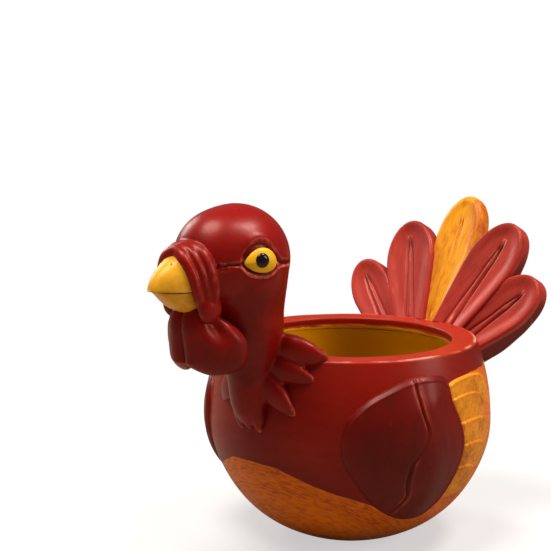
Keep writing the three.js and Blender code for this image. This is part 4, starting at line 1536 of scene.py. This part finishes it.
def feather_face(across, up, gap, length, quill_depth, groove_width):
    """Depth of the face below the lip's crest: the dish, two grooves and the quill."""
    dish = dish_depth * smooth_step(gap, dish_start, dish_end)
    toward_tip = np.clip((quill_end - up / length) / quill_point, 0, 1)
    broad_root = 1 + quill_broader * smooth_step(broad_until - up / length, *quill_narrows)
    half_quill = quill_half * broad_root * toward_tip ** quill_taper
    power = smooth_step(quill_end - up / length, *groove_ends)
    from_quill = np.abs(across)
    groove = bump(from_quill, half_quill, groove_width)
    ridge_width = np.maximum(half_quill * ridge_share, ridge_least)
    ridge = quill_height * bump(from_quill, 0, ridge_width)
    valley = valley_depth * bump(from_quill, 0, valley_width)
    return dish + power * (quill_depth * groove - ridge + valley)


print("the dish is", dish_depth, "mm deep")

# %% Feathers
root_thicker = 0.6
face_share = 0.62
side_share = 0.76
spine_share = 0.8
face_crowd = 1.8
back_crowd = 1.3
thick_shares = (0.5, 0.85)
stroke_length, stroke_depth, stroke_shift = 0.16, 0.5, 0.1
painted_under_shade = 0.2
# Where the paint's relief changes: depth behind the face, height over the rim, how far a
# normal points down, and how far it points out of the fan
back_depths = (2.4, 4.5)
rim_heights = (1, 4)
down_normals = (-0.45, 0.35)
face_normals = (0.4, 0.9)
feather_sides = 260
feather_rings = 130


def add_feather(i):
    angle, long, wide, back, edge_round, quill_depth, groove_width = feathers[i]
    length, half = long * feather_length, wide * feather_half
    edge = even_line(feather_outline(length, half), feather_sides, closed=True)
    middle = np.array([0, 0.6 * length])

    def place(turn, share):
        on_face = share <= face_share
        rear = share >= side_share
        inward = np.maximum(0, 1 - share / face_share) ** face_crowd
        inward += np.maximum(0, (share - side_share) / (1 - side_share)) ** back_crowd
        spots, gap = ring_spots(turn, 1 - inward, edge, middle, spine_share)
        face = feather_face(*spots.T, gap, length, quill_depth, groove_width)
        front = -edge_round * (1 - rounded(gap, edge_round)) - face
        low = 1 - smooth_step(spots[:, 1] / length, *thick_shares)
        thick = feather_thick * (1 + root_thicker * low)
        behind = -thick + back_round * (1 - rounded(gap, back_round))
        part = np.clip((share - face_share) / (side_share - face_share), 0, 1)
        wall_depth = -edge_round - part * (thick - edge_round - back_round)
        lift = np.where(on_face, front, np.where(rear, behind, wall_depth))
        made = in_fan(*spots.T, lift, angle, back)
        keep_in_wall(made)
        return made * MM

    mesh = shaped_ball(f"feather_{i + 1}", feather_sides, feather_rings, place)
    turn = math.radians(angle)
    spots = read_points(mesh)
    rise, depth = out_of_fan(spots / MM)
    across = spots[:, 0] * math.cos(turn) + rise * MM * math.sin(turn)
    along = rise * MM * math.cos(turn) - spots[:, 0] * math.sin(turn)
    deep = spots[:, 1] * stroke_depth + i * stroke_shift
    grain = np.stack([across, along * stroke_length, deep], axis=1)
    add_piece(f"feather_{i + 1}", mesh, [f"tail_feather_{i + 1}"], grain)
    behind = smooth_step(depth - back * feather_set_back, *back_depths)
    clear = smooth_step(spots[:, 2] / MM - pot_height, *rim_heights) * (1 - behind)
    facing = point_normals(mesh)
    down = smooth_step(-facing[:, 2], *down_normals)
    wall = 1 - smooth_step(np.abs(facing @ fan_out), *face_normals)
    # Walls behind the face that point down get a relief below zero, so the paint puts painted
    # shade there.
    change_relief(mesh, lambda relief: relief * clear - painted_under_shade * behind * wall * down)


for i in range(len(feathers)):
    add_feather(i)

# %% [markdown]
# ## The root of the tail
# One lobe joins the feathers to the rim. It starts from the CAD's own solid, which is
# remeshed, pulled in under the feathers, kept from standing out behind them, narrowed
# towards the top, and smoothed until it looks modelled by hand.

# %% Tail root
root_voxel = 0.9
root_tuck = 9
root_cover = 13
root_slack = 30
root_narrow = 0.2
root_relief = 0.3
first_rounds, last_rounds = 25, 40
# Heights over the rim and rises along the fan over which the lobe is changed
tuck_heights = (-8, 5)
slack_rises = (-6, 6)
narrow_rises = (-8, 4)

bm = bmesh.new()
bm.from_mesh(bpy.data.objects["tail_root"].data)
bmesh.ops.remove_doubles(bm, verts=bm.verts, dist=1e-6)
root_mesh = remeshed(bm, root_voxel)
smoothed(root_mesh, first_rounds)
points = read_points(root_mesh) / MM
points[:, 1] -= root_tuck * smooth_step(points[:, 2] - pot_height, *tuck_heights)
rise, depth = out_of_fan(points)
deepest = root_cover + root_slack * (1 - smooth_step(rise, *slack_rises))
points += np.outer(np.maximum(0, depth - deepest), fan_out)
points[:, 0] *= 1 - root_narrow * smooth_step(rise, *narrow_rises)
write_points(root_mesh, points * MM)
smoothed(root_mesh, last_rounds)
add_piece("tail_root_cast", root_mesh, ["tail_root"])
change_relief(root_mesh, lambda relief: relief * root_relief)

# %% [markdown]
# ## Hand-painted resin
# Every surface is the same cast resin with satin acrylic paint: a base colour, a thin dark
# wash that settles in the hollows, and a lighter colour rubbed over the ridges with a
# nearly dry brush. The dark in the hollows also stands for painted shade, and the light on
# the ridges for a painted highlight. One shader group does all of that from the relief and
# the grain that each piece stores, and every colour is a material that puts its own paints
# into it.

# %% Paint helpers
NUMBER, COLOR, VECTOR = "NodeSocketFloat", "NodeSocketColor", "NodeSocketVector"


def color(red, green, blue):
    """A paint named by its screen values from 0 to 255, as the linear colour that nodes use."""
    parts = []
    for value in (red, green, blue):
        value /= 255
        parts.append(value / 12.92 if value <= 0.04045 else ((value + 0.055) / 1.055) ** 2.4)
    return (*parts, 1)


def new_group(name, inputs, outputs):
    """An empty shader group with named sockets, and its two end nodes."""
    tree = bpy.data.node_groups.new(name, "ShaderNodeTree")
    for socket, kind, value in inputs:
        made = tree.interface.new_socket(socket, in_out="INPUT", socket_type=kind)
        made.default_value = value
    for socket, kind in outputs:
        tree.interface.new_socket(socket, in_out="OUTPUT", socket_type=kind)
    return tree, tree.nodes.new("NodeGroupInput").outputs, tree.nodes.new("NodeGroupOutput").inputs


print("mid grey as a node's colour:", round(color(128, 128, 128)[0], 3))

# %% The paint group
group, given, result = new_group("hand_paint", [
    ("Grain", VECTOR, (0, 0, 0)),
    ("Relief", NUMBER, 0),
    ("Paint", COLOR, (0.5, 0.5, 0.5, 1)),
    ("Wash", COLOR, (0.1, 0.1, 0.1, 1)),
    ("Rub", COLOR, (0.8, 0.8, 0.8, 1)),
    ("Stroke Scale", NUMBER, 420),
    ("Patch Scale", NUMBER, 26),
    ("Wash Amount", NUMBER, 0.5),
    ("Rub Amount", NUMBER, 0.5),
    ("Stroke Amount", NUMBER, 0.25),
    ("Gloss", NUMBER, 0.4),
], [("Color", COLOR), ("Roughness", NUMBER), ("Height", NUMBER)])
# Where an effect starts and where it is full, on the relief or on the noise
hollow_range = (-0.03, -0.2)
ridge_range = (0.03, 0.17)
stroke_range = (0.42, 0.68)
patch_range = (0.4, 0.7)
dry_brush_range = (0.62, 0.4, 0.25, 1.0)
fleck_range = (0.36, 0.24)
hollow_shade_share = 0.92
wash_roughness = 0.14
stroke_roughness = 0.1
patch_height = 0.5

stroke = noise(group, given["Grain"], given["Stroke Scale"], 5, 0.6)
patch = noise(group, given["Grain"], given["Patch Scale"], 3, 0.5)
# The wash colour in the hollows is a real wash and also painted shade where the creases fall dark.
hollow = ramp(group, given["Relief"], *hollow_range)
ridge = ramp(group, given["Relief"], *ridge_range)
stroke_wash = ramp(group, stroke, *stroke_range)
patch_wash = ramp(group, patch, *patch_range)
wash_and_shade = maths(group, "MULTIPLY", stroke_wash, given["Stroke Amount"])
wash_and_shade = maths(group, "MULTIPLY_ADD", patch_wash, given["Wash Amount"], wash_and_shade)
wash_and_shade = maths(group, "MAXIMUM", wash_and_shade, maths(group, "MULTIPLY", hollow, hollow_shade_share))
base = blend(group, wash_and_shade, given["Paint"], given["Wash"])
dry_brush = ramp(group, stroke, *dry_brush_range)
# The lighter colour on the ridges is dry-brushed paint and also a painted highlight.
rub_and_highlight = maths(group, "MULTIPLY", maths(group, "MULTIPLY", ridge, dry_brush), given["Rub Amount"])
flecks = maths(group, "MULTIPLY", ramp(group, stroke, *fleck_range), given["Stroke Amount"])
rub_and_highlight = maths(group, "MAXIMUM", rub_and_highlight, flecks)
rough = maths(group, "MULTIPLY_ADD", wash_and_shade, wash_roughness, given["Gloss"])
rough = maths(group, "MULTIPLY_ADD", stroke, stroke_roughness, rough)
height = maths(group, "MULTIPLY_ADD", patch, patch_height, stroke)
set_input(group, result["Color"], blend(group, rub_and_highlight, base, given["Rub"]))
set_input(group, result["Roughness"], rough)
set_input(group, result["Height"], height)
print("hand_paint has", len(group.nodes), "nodes")

# %% [markdown]
# ## The paints
# Each row names a paint by the colours of its base, wash and rub, then the size of its
# strokes and patches, how much of each effect it takes, and how rough it is. The wash
# colour also serves as painted shade in the hollows, and the rub colour as a painted
# highlight on the ridges. The varnish is thin and the resin's own reflection weak, and
# both take on the paint's colour, as light does in a film with pigment, so the deep reds
# don't turn grey.

# %% Table of paints
look_words = [
    "Paint", "Wash", "Rub", "Stroke Scale", "Patch Scale", "Wash Amount", "Rub Amount",
    "Stroke Amount", "Gloss",
]
looks = {
    "head_red": ((140, 11, 6), (62, 3, 1), (230, 104, 86), 330, 30, 0.5, 0.9, 0.12, 0.3),
    "wing_red": ((122, 11, 5), (58, 4, 1), (204, 72, 50), 300, 26, 0.6, 0.95, 0.12, 0.33),
    "feather_red": ((184, 58, 47), (98, 13, 9), (238, 142, 116), 420, 40, 0.4, 1, 0.22, 0.34),
    "scale_yellow": ((244, 152, 28), (150, 62, 6), (252, 196, 70), 700, 90, 0.45, 0.9, 0.4, 0.42),
    "feather_yellow": (
        (240, 160, 24), (186, 80, 8), (252, 200, 64), 420, 60, 0.75, 0.7, 0.45, 0.38,
    ),
    "beak": ((238, 176, 42), (196, 112, 16), (246, 212, 110), 420, 60, 0.35, 0.5, 0.25, 0.3),
    "eye": ((246, 186, 28), (200, 120, 10), (250, 210, 90), 300, 60, 0.25, 0.3, 0.1, 0.25),
    "pupil": ((14, 11, 11), (6, 5, 5), (34, 28, 26), 300, 60, 0.3, 0.3, 0.1, 0.12),
    "chest": ((140, 18, 6), (82, 6, 2), (222, 76, 44), 260, 22, 0.6, 0.8, 0.16, 0.36),
    "belly": ((252, 128, 8), (158, 46, 4), (254, 176, 34), 1500, 90, 0.35, 0.6, 0.5, 0.36),
    "lining": ((250, 206, 10), (206, 154, 4), (250, 210, 40), 200, 24, 0.5, 0.4, 0.15, 0.45),
}
print(len(looks), "paints")

# %% One material for one paint
coat_weight = 0.1
pupil_coat = 0.35
coat_roughness = 0.22
specular_level = 0.3
red_shine = (1, 0.5, 0.42, 1)
yellow_shine = (1, 0.8, 0.5, 1)
stroke_height = 0.00012
stroke_bump = 0.5
beak_bump = 0.2


def paint_layer(tree, name):
    """A hand_paint node with a paint's values, fed with the piece's own grain and relief."""
    paints = node(tree, "ShaderNodeGroup", node_tree=group)
    set_input(tree, paints.inputs["Grain"], stored(tree, "grain", "Vector"))
    set_input(tree, paints.inputs["Relief"], stored(tree, "relief"))
    for word, value in zip(look_words, looks[name]):
        paints.inputs[word].default_value = color(*value) if isinstance(value, tuple) else value
    return paints.outputs


def dress(name, shown, pieces, bump_strength=stroke_bump, coat=coat_weight, shine=red_shine):
    """Ends a material in one shader and puts it on pieces. shown(tree) gives its colour,
    roughness and height."""
    material = empty_material(name)
    tree = material.node_tree
    paint, rough, height = shown(tree)
    strokes = node(tree, "ShaderNodeBump", {
        "Height": height, "Strength": bump_strength, "Distance": stroke_height,
    })
    shader = node(tree, "ShaderNodeBsdfPrincipled", {
        "Base Color": paint, "Roughness": rough, "Normal": strokes.outputs[0],
        "Coat Weight": coat, "Coat Roughness": coat_roughness,
        "Specular IOR Level": specular_level, "Specular Tint": shine,
    })
    node(tree, "ShaderNodeOutputMaterial", {"Surface": shader.outputs[0]})
    for piece in pieces:
        mesh = bpy.data.objects[piece].data
        mesh.materials.clear()
        mesh.materials.append(material)
    print(f"{name}: {', '.join(pieces)}")


def plain(name):
    """What a material shows that has one paint all over."""
    def shown(tree):
        layer = paint_layer(tree, name)
        return [layer[key] for key in shown_keys]
    return shown


shown_keys = ("Color", "Roughness", "Height")
print("a material shows", shown_keys)

# %% Dress the pieces
yellow = {"shine": yellow_shine}
pair = {
    part: [f"{side}_{part}" for side in sides] for part in ("wattle_skin", "wing_pad", "eye_dome")
}
scales = [f"{side}_flank_scale_{i}" for side in sides for i in range(1, 6)]
dresses = [
    ("head_red", ["head_casting", *pair["wattle_skin"]], {}),
    ("wing_red", [*pair["wing_pad"], "tail_root_cast"], {}),
    ("feather_red", ["feather_1", "feather_2", "feather_4", "feather_5"], {}),
    ("scale_yellow", scales, yellow),
    ("feather_yellow", ["feather_3"], yellow),
    ("beak", ["upper_beak_horn", "lower_beak_horn"], {"bump_strength": beak_bump, **yellow}),
    ("eye", pair["eye_dome"], yellow),
    ("pupil", ["left_pupil_dome", "right_pupil_dome"], {"coat": pupil_coat}),
]
for name, pieces, finish in dresses:
    dress(f"{name}_paint", plain(name), pieces, **finish)

# %% [markdown]
# ## The pot's paint
# The pot carries three paints. The stored distances say where each ends, and a little noise
# makes the lines between them waver like ones drawn by hand. The flat rim is a brighter
# red. Its outer corner has pale patches, partly rubbed paint and partly a painted highlight
# along the edge, and the lining is darker on the side that the light inside the bowl
# doesn't reach.

# %% Shade in the bowl
shade_way = (0.74, 0.67, 0)
shade_paint = color(136, 98, 3)
shade_share = 0.8
shade_start, shade_full = -0.032, 0.0
far_start, far_full, far_share = 0.006, 0.04, 0.6


def shaded_lining(tree, lining, place):
    """The lining's paint, darker towards shade_way and less so at its far end."""
    across = node(
        tree, "ShaderNodeVectorMath", {0: place, 1: shade_way}, operation="DOT_PRODUCT",
    ).outputs["Value"]
    near = ramp(tree, across, shade_start, shade_full)
    far = ramp(tree, across, far_start, far_full, 1.0, far_share)
    shade = maths(tree, "MULTIPLY", near, far)
    return blend(tree, maths(tree, "MULTIPLY", shade, shade_share), lining, shade_paint)


print("the shaded side of the lining takes", shade_share, "of the darker paint")

# %% Rim
rim_paint = color(178, 44, 18)
rim_share = 0.6
# Pale paint at the rim's outer corner: partly rubbed paint, partly a painted highlight along the
# edge.
worn_and_lit_paint = color(246, 186, 156)
worn_and_lit_share = 0.75
worn_and_lit_scale = 55
worn_and_lit_start, worn_and_lit_full = 0.4, 0.62


def chest_with_lit_worn_corner(tree, chest, place):
    """The chest's paint, brighter on the rim, with pale patches at its corner that are partly
    rubbed paint and partly a painted highlight along the edge.
    """
    on_rim = maths(tree, "MULTIPLY", stored(tree, "on_rim"), rim_share)
    patches = ramp(tree, noise(tree, place, worn_and_lit_scale), worn_and_lit_start, worn_and_lit_full)
    worn_and_lit = maths(tree, "MULTIPLY", stored(tree, "rim_corner"), worn_and_lit_share)
    worn_and_lit = maths(tree, "MULTIPLY", worn_and_lit, patches)
    return blend(tree, worn_and_lit, blend(tree, on_rim, chest, rim_paint), worn_and_lit_paint)


print("the rim's corner is worn to at most", worn_and_lit_share)

# %% Pot paint
waver_scale = 300
waver_reach = 2.4
red_edge = 0.35
lining_soft = 0.3


def pot_shown(tree):
    layers = [paint_layer(tree, name) for name in ("lining", "belly", "chest")]
    waver = noise(tree, stored(tree, "grain", "Vector"), waver_scale, 3)
    waver = maths(tree, "MULTIPLY_ADD", waver, waver_reach, -waver_reach / 2)
    red = maths(tree, "ADD", stored(tree, "above_line"), waver)
    red = ramp(tree, red, -red_edge, red_edge)
    outer = maths(tree, "ADD", stored(tree, "above_lining"), waver)
    outer = ramp(tree, outer, -lining_soft, lining_soft)
    place = node(tree, "ShaderNodeTexCoord").outputs["Object"]
    shown = []
    for key in shown_keys:
        lining, belly, chest = [layer[key] for layer in layers]
        if key == "Color":
            lining = shaded_lining(tree, lining, place)
            chest = chest_with_lit_worn_corner(tree, chest, place)
        shown.append(blend(tree, outer, lining, blend(tree, red, belly, chest)))
    return shown


dress("pot_paint", pot_shown, ["pot_body", "pot_lining"])
